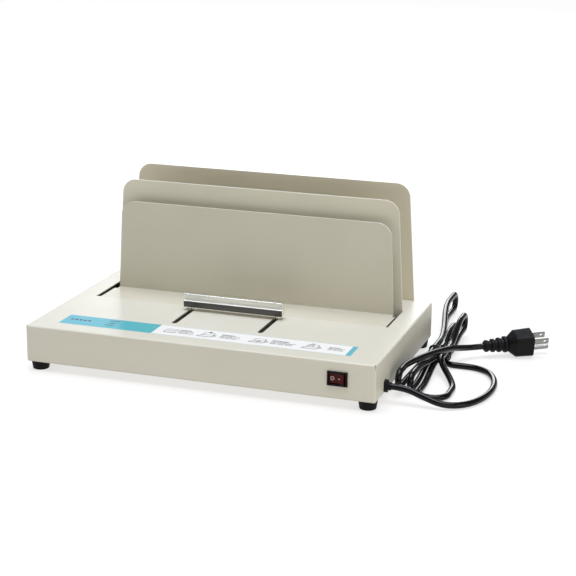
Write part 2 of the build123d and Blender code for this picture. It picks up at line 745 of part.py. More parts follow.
wire_radius = 1.1
gland_inner_x = half_width - sheet - 9.0
wire_floor = base_top + wire_radius + 0.3
block_front = block_y - block_size[1] / 2
block_back = block_y + block_size[1] / 2
pole_z = base_top + 5.0
left_pole, mid_pole, right_pole = pole_xs
blade_back_y = switch_back_y + blade_length
inside_rail_x = rail_half_place - 6.0
mat_lead_z = mat_low + mat_thickness / 2 - wire_radius
fuse_left_x = -end_bay_x - fuse_length / 2
fuse_right_x = -end_bay_x + fuse_length / 2
feed_x = mid_pole - 2.6
supply_routes = [
    [(gland_inner_x, gland_y - 2.6, gland_height), (gland_inner_x - 6, gland_y - 2.6, gland_height),
     (left_pole - 1, gland_y + 12, pole_z + 2), (left_pole, gland_y + 22, pole_z),
     (left_pole, block_front, pole_z)],
    [(gland_inner_x, gland_y, gland_height + 3), (gland_inner_x - 4, gland_y, gland_height + 3),
     (mid_pole, gland_y + 12, pole_z + 3), (mid_pole, gland_y + 22, pole_z),
     (mid_pole, block_front, pole_z)],
    [(gland_inner_x, gland_y + 2.4, gland_height), (gland_inner_x - 2.5, gland_y + 2.4, gland_height),
     (right_pole - 2, gland_y + 12, pole_z), (right_pole, gland_y + 22, pole_z),
     (right_pole, block_front, pole_z)],
]
switch_routes = [
    [(terminal_xs[1], blade_back_y, switch_z), (terminal_xs[1], blade_back_y + 4, switch_z),
     (terminal_xs[1] + 2, blade_back_y + 10, base_top + 13), (block_x - 12.4, block_y - 22, base_top + 8),
     (block_x - 12.6, block_y, base_top + 9), (block_x - 11, block_back + 6, pole_z + 2),
     (left_pole, block_back + 8, pole_z), (left_pole, block_back, pole_z)],
    [(terminal_xs[0], blade_back_y, switch_z), (terminal_xs[0], blade_back_y + 4, switch_z),
     (inside_rail_x - 1, blade_back_y + 16, wire_floor + 5), (inside_rail_x, -40.0, wire_floor),
     (inside_rail_x - 1, -8.0, wire_floor), (end_bay_x + 5, tag_front_y - 16, wire_floor + 4),
     (end_bay_x, tag_front_y - 6, tag_z), (end_bay_x, tag_front_y, tag_z)],
]
heater_routes = [
    [(end_bay_x, tag_back_y, tag_z), (end_bay_x, tag_back_y + 5, tag_z),
     (end_bay_x - 5, tag_back_y + 7, tag_z + 2),
     (stack_half_length + 5, tag_back_y + 1, mat_lead_z), (stack_half_length, tag_back_y + 1, mat_lead_z)],
    [(-stack_half_length, heater_mid_y - 9, mat_lead_z), (-stack_half_length - 4, heater_mid_y - 9, mat_lead_z),
     (-stack_half_length - 5.2, heater_mid_y - 2, fuse_z), (-stack_half_length - 6, heater_mid_y, fuse_z),
     (fuse_right_x, heater_mid_y, fuse_z)],
    [(fuse_left_x, heater_mid_y, fuse_z), (fuse_left_x - 4, heater_mid_y, fuse_z),
     (-inside_rail_x, heater_mid_y - 4, fuse_z - 6), (-inside_rail_x, heater_mid_y - 26, wire_floor + 3),
     (-inside_rail_x + 4, -24.0, wire_floor), (-80.0, -76.0, wire_floor), (20.0, -84.0, wire_floor),
     (110.0, -84.0, wire_floor), (inside_rail_x + 6, rail_front_y - 6, wire_floor),
     (mid_pole - 7, rail_front_y - 2, wire_floor), (mid_pole - 5, block_front - 14, wire_floor + 0.4),
     (feed_x, block_front - 6, wire_floor + 0.6), (feed_x, block_front, wire_floor + 0.6)],
]


wiring = {"supply_wires": supply_routes, "switch_wires": switch_routes, "heater_wires": heater_routes}
for name, routes in wiring.items():
    with BuildPart() as wires:
        for route in routes:
            add_tube(route, wire_radius)
    save(wires, name)

# ---------------------------------------------------------------- label
with BuildPart() as instruction_label:
    with BuildSketch(Plane.XY.offset(casing_top)):
        with Locations(((label_left + label_right) / 2, front_y + label_front + label_depth / 2)):
            RectangleRounded(label_right - label_left, label_depth, 1.0)
    extrude(amount=label_thickness)
save(instruction_label, "instruction_label")

# ---------------------------------------------------------------- mains cord
cord_radius = cord_diameter / 2
cord_area = pi * cord_radius ** 2
floor_z = cord_radius + 0.1
gland_face_x = half_width + gland_thickness + gland_nose
with BuildPart() as cord_gland:
    with BuildSketch(gland_plane):
        SlotOverall(gland_tall, gland_width, rotation=90)
    extrude(amount=gland_thickness)
    fillet(cord_gland.faces().sort_by(Axis.X)[-1].edges(), 1.0)
    with BuildSketch(gland_plane.offset(gland_thickness)):
        Circle(cord_radius + 0.8)
    extrude(amount=gland_nose)
    with BuildSketch(gland_plane):
        SlotOverall(gland_neck_tall, gland_neck_width, rotation=90)
    extrude(amount=-(half_width - gland_inner_x))
save(cord_gland, "cord_gland")

# The hank: waist places, then where each loop turns, all on the floor right of the casing
tie_y = 62.0
waist_half = 6.0
waist_low = cord_radius + 2.2
waist_high = waist_low + cord_pitch
waist_left = half_width + 15.4
AWAY = Vector(0, 1, 0)
NEAR = Vector(0, -1, 0)
# Where each loop turns: its place right of the casing's side and its Y, the turn's radius, and
# how far the turn stands off the floor
far_turns = [(28.6, 150.5, 8.5, 6.0), (21.4, 132.0, 8.0, 0.0), (-4.0, 245.8, 9.0, 0.0)]
near_turns = [(57.5, -48.0, 15.0, 0.0), (19.0, -44.5, 8.0, 0.0), (9.0, -54.0, 8.6, 4.6)]
crossing_turn = radians(72.0)
crossing_fall = 0.12
crossing_heading = Vector(cos(crossing_turn), sin(crossing_turn), -crossing_fall).normalized()
crossing_beside = 31.5
crossing_y = 35.5
crossing_z = 21.4
crossing_end = Vector(half_width + crossing_beside, crossing_y, crossing_z)
quarter_turn = 12.0


def hank_stations():
    """Points that the hank passes with its heading there, from the lead to the tail."""
    turn_x = waist_left + 2 * cord_pitch + quarter_turn
    turn_y = tie_y - waist_half - quarter_turn
    stations = [(Vector(turn_x + cord_diameter, turn_y, floor_z), Vector(-1, 0, 0)),
                (Vector(turn_x, turn_y, floor_z), Vector(-1, 0, 0))]
    for turn, (far, near) in enumerate(zip(far_turns, near_turns)):
        column = waist_left + (len(far_turns) - 1 - turn) * cord_pitch
        far_beside, far_y, far_radius, far_lift = far
        near_beside, near_y, near_radius, near_lift = near
        far_x, near_x = half_width + far_beside, half_width + near_beside
        stations += [
            (Vector(column, tie_y - waist_half, waist_low), AWAY),
            (Vector(column, tie_y + waist_half, waist_low), AWAY),
            (Vector(far_x, far_y, floor_z + far_lift), AWAY),
            (Vector(far_x, far_y, floor_z + far_lift + 2 * far_radius), NEAR),
            (Vector(column, tie_y + waist_half, waist_high), NEAR),
            (Vector(column, tie_y - waist_half, waist_high), NEAR),
        ]
        low = Vector(near_x, near_y, floor_z + near_lift)
        high = low + Vector(0, 0, 2 * near_radius)
        beside = low - Vector(2 * near_radius, 0, 0)
        arrive, go_back = ((low, beside), (high, low), (low, high))[turn]
        stations += [(arrive, NEAR), (go_back, AWAY)]
    stations.append((crossing_end, crossing_heading))
    stations.append((crossing_end + crossing_heading * cord_diameter, crossing_heading))
    return stations


def biarc_joint(start, heading, end, end_heading):
    """Point where the two arcs between two stations meet, and the heading there."""
    chord = end - start
    headings = heading + end_heading
    spread = 2 * (1 - heading.dot(end_heading))
    along = chord.dot(headings)
    square = chord.dot(chord)
    if spread < 1e-9:
        reach = square / (2 * along)
    else:
        reach = (sqrt(along * along + spread * square) - along) / spread
    first, second = start + heading * reach, end - end_heading * reach
    return (first + second) / 2, (second - first).normalized()


hank_points = hank_stations()
with BuildPart() as cord_hank:
    with BuildLine() as hank_path:
        for (start, heading), (end, end_heading) in zip(hank_points, hank_points[1:]):
            straight = (end - start).get_angle(heading) < 0.01 and heading.get_angle(end_heading) < 0.01
            if straight:
                Line(start, end)
            else:
                joint, joint_heading = biarc_joint(start, heading, end, end_heading)
                TangentArc(start, joint, tangent=heading)
                TangentArc(joint, end, tangent=joint_heading)
    with BuildSketch(Plane(origin=hank_points[0][0], z_dir=hank_points[0][1])):
        Circle(cord_radius)
    sweep()
save(cord_hank, "cord_hank")

hank_wire = hank_path.wires()[0]
hank_length = hank_wire.length
samples = int(hank_length / 2)
trace = [tuple(hank_wire @ (step / samples)) for step in range(samples + 1)]
apart = int(3 * cord_diameter / 2)
hank_gap = min(
    dist(one, other) for index, one in enumerate(trace) for other in trace[index + apart:]
) - cord_diameter
print(f"hank length {hank_length:.1f}, least gap to itself {hank_gap:.2f}")
print(f"hank volume {cord_hank.part.volume:.0f} of {cord_area * hank_length:.0f}")

# The lead from the gland to the hank: each place right of the casing's side, Y and height off the floor
hank_start = hank_points[0][0]
lead_places = [
    (40.0, -83.0, 7.3),
    (60.0, -84.5, 1.4),
    (78.5, -74.0, 0.0),
    (91.0, -53.5, 0.0),
    (96.5, -28.0, 0.0),
    (96.0, -3.0, 0.0),
    (90.5, 18.0, 0.0),
    (81.5, 34.5, 0.0),
    (65.5, hank_start.Y, 0.0),
]
lead_exit = 14.4
lead_points = [
    (gland_face_x, gland_y, gland_height),
    (gland_face_x + lead_exit, gland_y, gland_height),
    *[(half_width + beside, y, floor_z + lift) for beside, y, lift in lead_places],
    tuple(hank_start),
]
# The tail from the hank to the plug, and how the plug lies
hank_end, tail_heading = hank_points[-1]
plug_pitch = radians(2.5)
plug_turn = radians(30.0)
plug_axis = Vector(cos(plug_turn) * cos(plug_pitch), sin(plug_turn) * cos(plug_pitch), sin(plug_pitch))
plug_beside = 64.0
plug_y = 91.0
plug_z = 12.7
plug_start = Vector(half_width + plug_beside, plug_y, plug_z)
tail_exit = 13.0
plug_entry = 13.0
tail_places = [(42.9, 70.4, 14.6)]
tail_points = [
    tuple(hank_end),
    tuple(hank_end + tail_heading * tail_exit),
    *[(half_width + beside, y, z) for beside, y, z in tail_places],
    tuple(plug_start - plug_axis * plug_entry),
    tuple(plug_start),
]


def cord_stretch(points, name):
    """Build a free stretch of the cord as a round tube and print what it measures."""
    with BuildPart() as stretch:
        path = add_tube(points, cord_radius)
    save(stretch, name)
    print(f"{name} radii", [round(radius, 1) for radius in corner_radii(points)])
    print(f"{name} length {path.length:.1f}, volume {stretch.part.volume:.0f} of {cord_area * path.length:.0f}")


cord_stretch(lead_points, "cord_lead")
cord_stretch(tail_points, "cord_tail")

# Wire tie round the waist
tie_gap = 0.3
tie_thickness = 1.4
tie_width = 3.0
bundle_width = 2 * cord_pitch + cord_diameter + 2 * tie_gap
bundle_height = cord_pitch + cord_diameter + 2 * tie_gap
with BuildPart() as cord_tie:
    with BuildSketch(Plane.XZ.offset(-tie_y - tie_width / 2)):
        with Locations((waist_left + cord_pitch, (waist_low + waist_high) / 2)):
            RectangleRounded(bundle_width + 2 * tie_thickness, bundle_height + 2 * tie_thickness,
                             cord_radius + tie_thickness + 0.1)
            RectangleRounded(bundle_width, bundle_height, cord_radius + 0.1, mode=Mode.SUBTRACT)
    extrude(amount=tie_width)
save(cord_tie, "cord_tie")

# ---------------------------------------------------------------- plug
plug_roll = radians(16.0)
plug_corner = 6.0
relief_length = 35.0
level = Vector(-sin(plug_turn), cos(plug_turn), 0)
raised = plug_axis.cross(level)
across = level * cos(plug_roll) + raised * sin(plug_roll)
plug_plane = Plane(origin=plug_start, x_dir=across, z_dir=plug_axis)
plug_face = plug_plane.offset(relief_length + plug_length)
relief_start_radius = 4.8
relief_end_radius = 7.4
relief_ring_length = 4.2
ring_rounding = 1.2
relief_rings = [(1.0, 6.6), (8.0, 7.4), (15.0, 8.0), (22.0, 9.0)]
shoulder_length = 8.0
shoulder = relief_length - shoulder_length
with BuildPart() as plug_body:
    with BuildSketch(plug_plane):
        Circle(relief_start_radius)
    with BuildSketch(plug_plane.offset(shoulder)):
        Circle(relief_end_radius)
    loft()
    for place, outer in relief_rings:
        with BuildSketch(plug_plane.offset(place)):
            Circle(outer)
        extrude(amount=relief_ring_length)
        rims = plug_body.edges().filter_by(GeomType.CIRCLE)
        fillet(rims.filter_by(lambda edge, size=outer: abs(edge.radius - size) < 1e-4), ring_rounding)
    with BuildSketch(plug_plane.offset(shoulder)):
        RectangleRounded(2 * relief_end_radius, 2 * relief_end_radius, plug_corner)
    with BuildSketch(plug_plane.offset(relief_length)):
        RectangleRounded(plug_width - 1, plug_tall - 1, plug_corner)
    loft()
    with BuildSketch(plug_plane.offset(relief_length)):
        RectangleRounded(plug_width - 1, plug_tall - 1, plug_corner)
    with BuildSketch(plug_face):
        RectangleRounded(plug_width, plug_tall, plug_corner)
    loft()
save(plug_body, "plug_body")
print(f"plug stands {plug_body.part.bounding_box().min.Z:.2f} above the floor")

blade_spacing = 12.7
blade_width = 6.3
blade_thickness = 1.5
blade_reach = 18.0
blade_rise = 3.5
with BuildPart() as plug_blades:
    with BuildSketch(plug_face):
        with Locations((-blade_spacing / 2, blade_rise), (blade_spacing / 2, blade_rise)):
            Rectangle(blade_thickness, blade_width)
    extrude(amount=blade_reach)
    chamfer(plug_blades.faces().sort_by(Axis(plug_start, plug_axis))[-2:].edges(), 0.4)
    with BuildSketch(Plane(origin=plug_face.from_local_coords((0, blade_rise, blade_reach - 4.5)),
                           x_dir=plug_axis, z_dir=across)):
        Circle(1.6)
    extrude(amount=blade_spacing, both=True, mode=Mode.SUBTRACT)
save(plug_blades, "plug_blades")

ground_pin_radius = 2.4
ground_pin_reach = 21.0
with BuildPart() as plug_ground_pin:
    with BuildSketch(plug_face):
        with Locations((0, blade_rise - 11.9)):
            Circle(ground_pin_radius)
    extrude(amount=ground_pin_reach)
    fillet(plug_ground_pin.faces().sort_by(Axis(plug_start, plug_axis))[-1].edges(), ground_pin_radius - 0.6)
save(plug_ground_pin, "plug_ground_pin")
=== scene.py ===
"""Dress the thermal binding machine: finishes, print, marks, cord, floor, light and camera.

Lengths are in metres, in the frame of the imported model: X to the right, Y to the back, Z up from
the surface that the feet stand on.
"""
import logging
from dataclasses import dataclass, field
from enum import Enum
from math import ceil, cos, pi, radians, sin, tan
from typing import Any, Iterable, Sequence, Union

import bmesh
import bpy
import numpy as np
from mathutils import Euler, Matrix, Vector


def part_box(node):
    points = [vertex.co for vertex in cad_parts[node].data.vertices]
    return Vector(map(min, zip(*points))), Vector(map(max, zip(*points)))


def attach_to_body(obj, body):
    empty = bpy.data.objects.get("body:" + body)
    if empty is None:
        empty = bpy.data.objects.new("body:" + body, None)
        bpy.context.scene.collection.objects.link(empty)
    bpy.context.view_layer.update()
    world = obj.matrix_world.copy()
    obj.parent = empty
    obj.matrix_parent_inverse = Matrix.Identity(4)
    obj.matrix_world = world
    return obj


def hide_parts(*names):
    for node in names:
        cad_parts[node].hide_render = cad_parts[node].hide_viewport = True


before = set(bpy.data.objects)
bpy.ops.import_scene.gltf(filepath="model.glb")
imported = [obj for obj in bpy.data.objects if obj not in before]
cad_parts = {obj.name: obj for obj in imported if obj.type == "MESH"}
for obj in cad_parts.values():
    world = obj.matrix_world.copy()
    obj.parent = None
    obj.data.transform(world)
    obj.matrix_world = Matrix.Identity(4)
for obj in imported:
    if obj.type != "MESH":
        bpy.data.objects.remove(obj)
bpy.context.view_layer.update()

log = logging.getLogger("binding_machine")
MM = 0.001
Colour = tuple[float, float, float]
Points = np.ndarray
Number = Union[float, "Value"]
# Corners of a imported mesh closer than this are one, and faces that turn less than this are flat
MERGE_DISTANCE = 0.002 * MM
FLAT_ANGLE = radians(0.3)
# A direction that no tube here runs along, from which a tube's rings are turned
ASKEW = np.array([0.31, 0.83, 0.47])
# Two headings with a cosine above this count as one
STRAIGHT = 0.9999
# Below this spread, which is twice one less their cosine, the equation for an arc's reach is linear
PARALLEL = 1e-9


class Body(Enum):
    """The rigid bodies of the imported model."""

    BASE = "base"
    CLAMP = "clamp"
    ROCKER = "rocker"


class Step(Enum):
    """The steps that the label draws."""

    SHEETS = "sheets"
    INSERT = "insert"
    SLIDE = "slide"
    STAND = "stand"


def srgb(red: float, green: float, blue: float) -> Colour:
    """Turn a screen colour of 0 to 255 into the linear colour that a shader takes."""
    return tuple(float(((value / 255 + 0.055) / 1.055) ** 2.4) for value in (red, green, blue))


# ------------------------------------------------------------------ shader expressions
class Value:
    """A number that may change over a surface; Python's operators on it add Math nodes."""

    def __init__(self, graph: "Graph", socket: bpy.types.NodeSocket) -> None:
        """Wrap an output socket of a graph."""
        self.graph = graph
        self.socket = socket

    def __add__(self, other: Number) -> "Value":
        """Sum."""
        return self.graph.math("ADD", self, other)

    __radd__ = __add__

    def __sub__(self, other: Number) -> "Value":
        """Difference."""
        return self.graph.math("SUBTRACT", self, other)

    def __rsub__(self, other: Number) -> "Value":
        """Difference the other way round."""
        return self.graph.math("SUBTRACT", other, self)

    def __mul__(self, other: Number) -> "Value":
        """Product."""
        return self.graph.math("MULTIPLY", self, other)

    __rmul__ = __mul__

    def __gt__(self, other: Number) -> "Value":
        """One where this is greater, else zero."""
        return self.graph.math("GREATER_THAN", self, other)

    def __lt__(self, other: Number) -> "Value":
        """One where this is less, else zero."""
        return self.graph.math("LESS_THAN", self, other)

    def __abs__(self) -> "Value":
        """Size without sign."""
        return self.graph.math("ABSOLUTE", self)


class Graph:
    """The nodes of one material."""

    def __init__(self, name: str) -> None:
        """Start an empty material.

        Args:
            name: The material's name.
        """
        self.material = bpy.data.materials.new(name)
        self.material.use_nodes = True
        self.tree = self.material.node_tree
        self.tree.nodes.clear()
        self._place = None

    def node(self, kind: str, settings: dict[str, Any] | None = None,
             sockets: dict[Any, Any] | None = None) -> bpy.types.Node:
        """Make one node.

        Args:
            kind: The node's type name in Blender.
            settings: Its options, set before its sockets.
            sockets: What goes in, by socket name or number: a value, a Value or a socket.

        Returns:
            The node.
        """
        made = self.tree.nodes.new(kind)
        for key, value in (settings or {}).items():
            setattr(made, key, value)
        for key, value in (sockets or {}).items():
            self.feed(made.inputs[key], value)
        return made

    def feed(self, socket: bpy.types.NodeSocket, value: Any) -> None:
        """Put a number, a colour or a link into a socket.

        Args:
            socket: The socket to fill.
            value: A number or colour to set, or a Value or an output socket to link.
        """
        if isinstance(value, Value):
            value = value.socket
        if isinstance(value, bpy.types.NodeSocket):
            self.tree.links.new(value, socket)
        elif isinstance(value, tuple) and socket.type == "RGBA":
            socket.default_value = (*value, 1.0)
        else:
            socket.default_value = value

    def math(self, operation: str, *terms: Number) -> Value:
        """Add a Math node on the given terms."""
        made = self.node("ShaderNodeMath", {"operation": operation}, dict(enumerate(terms)))
        return Value(self, made.outputs[0])

    def place(self) -> bpy.types.NodeSocket:
        """Read the coordinates by one node, made on first use.

        Returns:
            Object coordinates, which are the model's own places in metres.
        """
        if self._place is None:
            self._place = self.node("ShaderNodeTexCoord").outputs["Object"]
        return self._place

    def axes(self) -> tuple[Value, Value, Value]:
        """The three object coordinates as numbers."""
        split = self.node("ShaderNodeSeparateXYZ", sockets={0: self.place()})
        return tuple(Value(self, output) for output in split.outputs)

    def stretched(self, scale: Sequence[float]) -> bpy.types.NodeSocket:
        """Object coordinates, scaled along each axis."""
        return self.node("ShaderNodeMapping", sockets={"Vector": self.place(), "Scale": scale}).outputs[0]

    def noise(self, size: float, detail: float = 2.0, stretch: Sequence[float] | None = None) -> Value:
        """Smooth noise from 0 to 1 about 0.5.

        Args:
            size: How wide its blotches are, in metres.
            detail: How many finer layers it has.
            stretch: A scale for each axis, below 1 along the grain.

        Returns:
            The noise.
        """
        where = self.stretched(stretch) if stretch else self.place()
        made = self.node("ShaderNodeTexNoise", sockets={"Vector": where, "Scale": 1 / size, "Detail": detail})
        return Value(self, made.outputs["Fac"])

    def cells(self, size: float) -> Value:
        """A random number for each cell of a Voronoi pattern.

        Args:
            size: How wide a cell is, in metres.

        Returns:
            The number, from 0 to 1.
        """
        made = self.node("ShaderNodeTexVoronoi", sockets={"Vector": self.place(), "Scale": 1 / size})
        grey = self.node("ShaderNodeSeparateColor", sockets={0: made.outputs["Color"]})
        return Value(self, grey.outputs[0])

    def facing(self, axis: int) -> Value:
        """How much the surface faces along one axis.

        Args:
            axis: 0, 1 or 2 for X, Y or Z.

        Returns:
            The normal's part along that axis, from -1 to 1.
        """
        normal = self.node("ShaderNodeNewGeometry").outputs["Normal"]
        split = self.node("ShaderNodeSeparateXYZ", sockets={0: normal})
        return Value(self, split.outputs[axis])

    def ramp(self, value: Number, low: float, high: float) -> Value:
        """Zero below low, one above high, and smooth between."""
        made = self.node("ShaderNodeMapRange", {"interpolation_type": "SMOOTHSTEP"},
                         {"Value": value, "From Min": low, "From Max": high})
        return Value(self, made.outputs["Result"])

    def mix(self, factor: Number, first: Any, second: Any) -> bpy.types.NodeSocket:
        """Mix two colours."""
        made = self.node("ShaderNodeMix", {"data_type": "RGBA"}, {"Factor": factor, 6: first, 7: second})
        return made.outputs[2]

    def bump(self, height: Value, depth: float) -> bpy.types.NodeSocket:
        """Tilt the surface by a height from 0 to 1 that stands for a depth in metres."""
        sockets = {"Height": height, "Distance": depth, "Strength": 1.0}
        return self.node("ShaderNodeBump", sockets=sockets).outputs[0]

    def surface(self, **sockets: Any) -> bpy.types.Material:
        """Finish the material with one principled shader.

        Args:
            sockets: What goes in, by socket name with _ for each space.

        Returns:
            The material.
        """
        named = {key.replace("_", " "): value for key, value in sockets.items()}
        shader = self.node("ShaderNodeBsdfPrincipled", sockets=named)
        self.node("ShaderNodeOutputMaterial", sockets={"Surface": shader.outputs[0]})
        return self.material


# ------------------------------------------------------------------ finishes
# A painted highlight of paler paint along a sheet's upper edges, and a painted shade of near-black bare steel
# where the sheet lies under the casing and shows only through its slots
PAINTED_EDGE_HIGHLIGHT = srgb(232, 230, 220)
PAINTED_SLOT_SHADE = srgb(40, 35, 27)


@dataclass(frozen=True)
class Finish:
    """A finish that one or more pieces share."""

    name: str

    def shade(self, graph: Graph) -> bpy.types.Material:
        """Fill the graph of this finish.

        Args:
            graph: The empty graph to fill.

        Returns:
            The finished material.
        """
        raise NotImplementedError

    def material(self) -> bpy.types.Material:
        """The material of this finish, made on first use."""
        ready = bpy.data.materials.get(self.name)
        return ready if ready else self.shade(Graph(self.name))


@dataclass(frozen=True)
class PowderCoat(Finish):
    """Sprayed, baked paint with a fine orange peel, faint clouds, glossier rubs, and where asked a painted
    edge highlight and painted shade.
    """

    colour: Colour
    shade_to: Colour
    roughness: float = 0.42
    peel_size: float = 0.9 * MM
    peel_depth: float = 0.035 * MM
    cloud_size: float = 90 * MM
    slot_shade_before: float | None = None
    edge_highlight_from: float | None = None

    def shade(self, graph: Graph) -> bpy.types.Material:
        """Paint whose tone drifts in wide clouds and whose gloss drifts in small ones.

        In front of a given place along Y, the sheet is painted as near-black bare steel, a painted shade that
        makes the slots above it look dark.
        Above a given height, what faces neither the front nor the back is an edge, painted paler as a painted
        highlight.

        Args:
            graph: The empty graph to fill.

        Returns:
            The finished material.
        """
        clouds = graph.noise(self.cloud_size, 2.0)
        specks = graph.noise(0.35 * MM, 1.0)
        rubs = graph.ramp(graph.noise(14 * MM, 4.0, (1.0, 0.2, 1.0)), 0.62, 0.78)
        tone = graph.ramp(clouds, 0.3, 0.7) * 0.75 + graph.ramp(specks, 0.56, 0.72) * 0.25
        colour = graph.mix(tone, self.colour, self.shade_to)
        coat, metallic = 0.12, 0.0
        if self.edge_highlight_from is not None:
            _, _, z = graph.axes()
            # Painted highlight: upper edges that face neither the front nor the back are painted paler.
            edge = graph.ramp(abs(graph.facing(1)), 0.85, 0.5) * (z > self.edge_highlight_from)
            colour = graph.mix(edge, colour, PAINTED_EDGE_HIGHLIGHT)
        # Painted shade: in front of the given place the sheet is painted near black, with less coat and more
        # metal, so the slots above it look dark.
        if self.slot_shade_before is not None:
            _, y, _ = graph.axes()
            bare = graph.ramp(y, self.slot_shade_before, self.slot_shade_before - MM)
            colour = graph.mix(bare, colour, PAINTED_SLOT_SHADE)
            coat, metallic = coat - coat * bare, bare
        peel = graph.noise(self.peel_size, 3.0)
        return graph.surface(Base_Color=colour,
                             Roughness=self.roughness + 0.07 * graph.noise(22 * MM) - rubs * 0.08,
                             Metallic=metallic, Coat_Weight=coat, Coat_Roughness=0.3,
                             Normal=graph.bump(peel, self.peel_depth))


@dataclass(frozen=True)
class Metal(Finish):
    """Bare or plated metal with a grain, faint smears and a tone that drifts."""

    colour: Colour
    dull: Colour
    roughness: float = 0.28
    grain: tuple[float, float, float] = (1.0, 1.0, 1.0)
    grain_size: float = 0.6 * MM
    grain_depth: float = 0.004 * MM
    spangle: float = 0.0

    def shade(self, graph: Graph) -> bpy.types.Material:
        """Metal whose grain runs along the axes with the smaller scales.

        Args:
            graph: The empty graph to fill.

        Returns:
            The finished material.
        """
        grain = graph.noise(self.grain_size, 3.0, self.grain)
        smears = graph.ramp(graph.noise(18 * MM, 3.0), 0.45, 0.75)
        tone = smears * 0.5 + grain * 0.3
        if self.spangle:
            tone = tone + graph.cells(5 * MM) * self.spangle
        return graph.surface(Base_Color=graph.mix(tone, self.colour, self.dull), Metallic=1.0,
                             Roughness=self.roughness + smears * 0.10 + grain * 0.08,
                             Normal=graph.bump(grain, self.grain_depth))


@dataclass(frozen=True)
class BandedChrome(Finish):
    """Polished chrome with a satin hollow and a finely drawn band on its front, painted dark as a painted
    reflection.
    """

    band_top: float
    band_front: float
    hollow_top: float
    hollow_back: float

    def shade(self, graph: Graph) -> bpy.types.Material:
        """Chrome with a band low on its front painted dark as a painted reflection, a satin hollow above it,
        and a mirror top.

        Args:
            graph: The empty graph to fill.

        Returns:
            The finished material.
        """
        _, y, z = graph.axes()
        hollow = graph.ramp(z, self.hollow_top + 0.1 * MM, self.hollow_top - 0.1 * MM)
        hollow = hollow * graph.ramp(y, self.hollow_back + 0.2 * MM, self.hollow_back)
        band = graph.ramp(z, self.band_top + 0.15 * MM, self.band_top - 0.15 * MM)
        band = band * graph.ramp(y, self.band_front + 0.3 * MM, self.band_front)
        lines = graph.noise(0.8 * MM, 2.0, (0.004, 1.0, 1.0))
        smears = graph.ramp(graph.noise(15 * MM, 3.0), 0.5, 0.8)
        # Painted reflection: the band's dark colour stands in for the dark room that the chrome would
        # reflect.
        dark = graph.mix(lines, srgb(44, 44, 46), srgb(120, 119, 117))
        bright = graph.mix(smears * 0.4, srgb(238, 238, 234), srgb(214, 214, 210))
        bright = graph.mix(hollow, bright, srgb(240, 240, 235))
        return graph.surface(Base_Color=graph.mix(band, bright, dark),
                             Metallic=1.0 - hollow * 0.75 + band * 0.7,
                             Roughness=0.08 + smears * 0.06 + hollow * 0.24 + band * 0.03,
                             Normal=graph.bump(lines, 0.002 * MM))


@dataclass(frozen=True)
class Moulded(Finish):
    """Moulded plastic or rubber with a fine grain, mould bloom and light dust."""

    colour: Colour
    bloom: Colour
    roughness: float = 0.5
    grain_size: float = 0.5 * MM
    grain_depth: float = 0.02 * MM
    coat: float = 0.0
    shine: float = 0.5

    def shade(self, graph: Graph) -> bpy.types.Material:
        """Plastic whose bloom gathers in soft patches.

        Args:
            graph: The empty graph to fill.

        Returns:
            The finished material.
        """
        patches = graph.ramp(graph.noise(9 * MM, 4.0), 0.46, 0.8)
        grain = graph.noise(self.grain_size, 2.0)
        return graph.surface(Base_Color=graph.mix(patches * 0.6 + grain * 0.2, self.colour, self.bloom),
                             Roughness=self.roughness + patches * 0.08 + grain * 0.08,
                             Coat_Weight=self.coat, Coat_Roughness=0.12, Specular_IOR_Level=self.shine,
                             Normal=graph.bump(grain, self.grain_depth))


@dataclass(frozen=True)
class CordJacket(Finish):
    """Glossy extruded jacket with faint flow marks and small scuffs."""

    colour: Colour
    scuff: Colour

    def shade(self, graph: Graph) -> bpy.types.Material:
        """Jacket that is smooth except for soft waves from the extruder.

        Args:
            graph: The empty graph to fill.

        Returns:
            The finished material.
        """
        waves = graph.noise(5 * MM, 3.0)
        scuffs = graph.ramp(graph.noise(2.2 * MM, 5.0), 0.66, 0.8)
        return graph.surface(Base_Color=graph.mix(scuffs * 0.5, self.colour, self.scuff),
                             Roughness=0.14 + scuffs * 0.3 + 0.06 * waves,
                             Coat_Weight=0.04, Coat_Roughness=0.08, Specular_IOR_Level=0.2,
                             Normal=graph.bump(waves, 0.08 * MM))


@dataclass(frozen=True)
class Fibre(Finish):
    """Pressed or woven fibre with visible strands."""

    colour: Colour
    shadow: Colour
    strand: float = 0.6 * MM

    def shade(self, graph: Graph) -> bpy.types.Material:
        """Strands that cross in two directions.

        Args:
            graph: The empty graph to fill.

        Returns:
            The finished material.
        """
        one = graph.noise(self.strand, 3.0, (0.15, 1.0, 1.0))
        other = graph.noise(self.strand, 3.0, (1.0, 0.15, 1.0))
        strands = (one + other) * 0.5
        return graph.surface(Base_Color=graph.mix(graph.ramp(strands, 0.35, 0.65), self.shadow, self.colour),
                             Roughness=0.9, Normal=graph.bump(strands, 0.2 * MM))


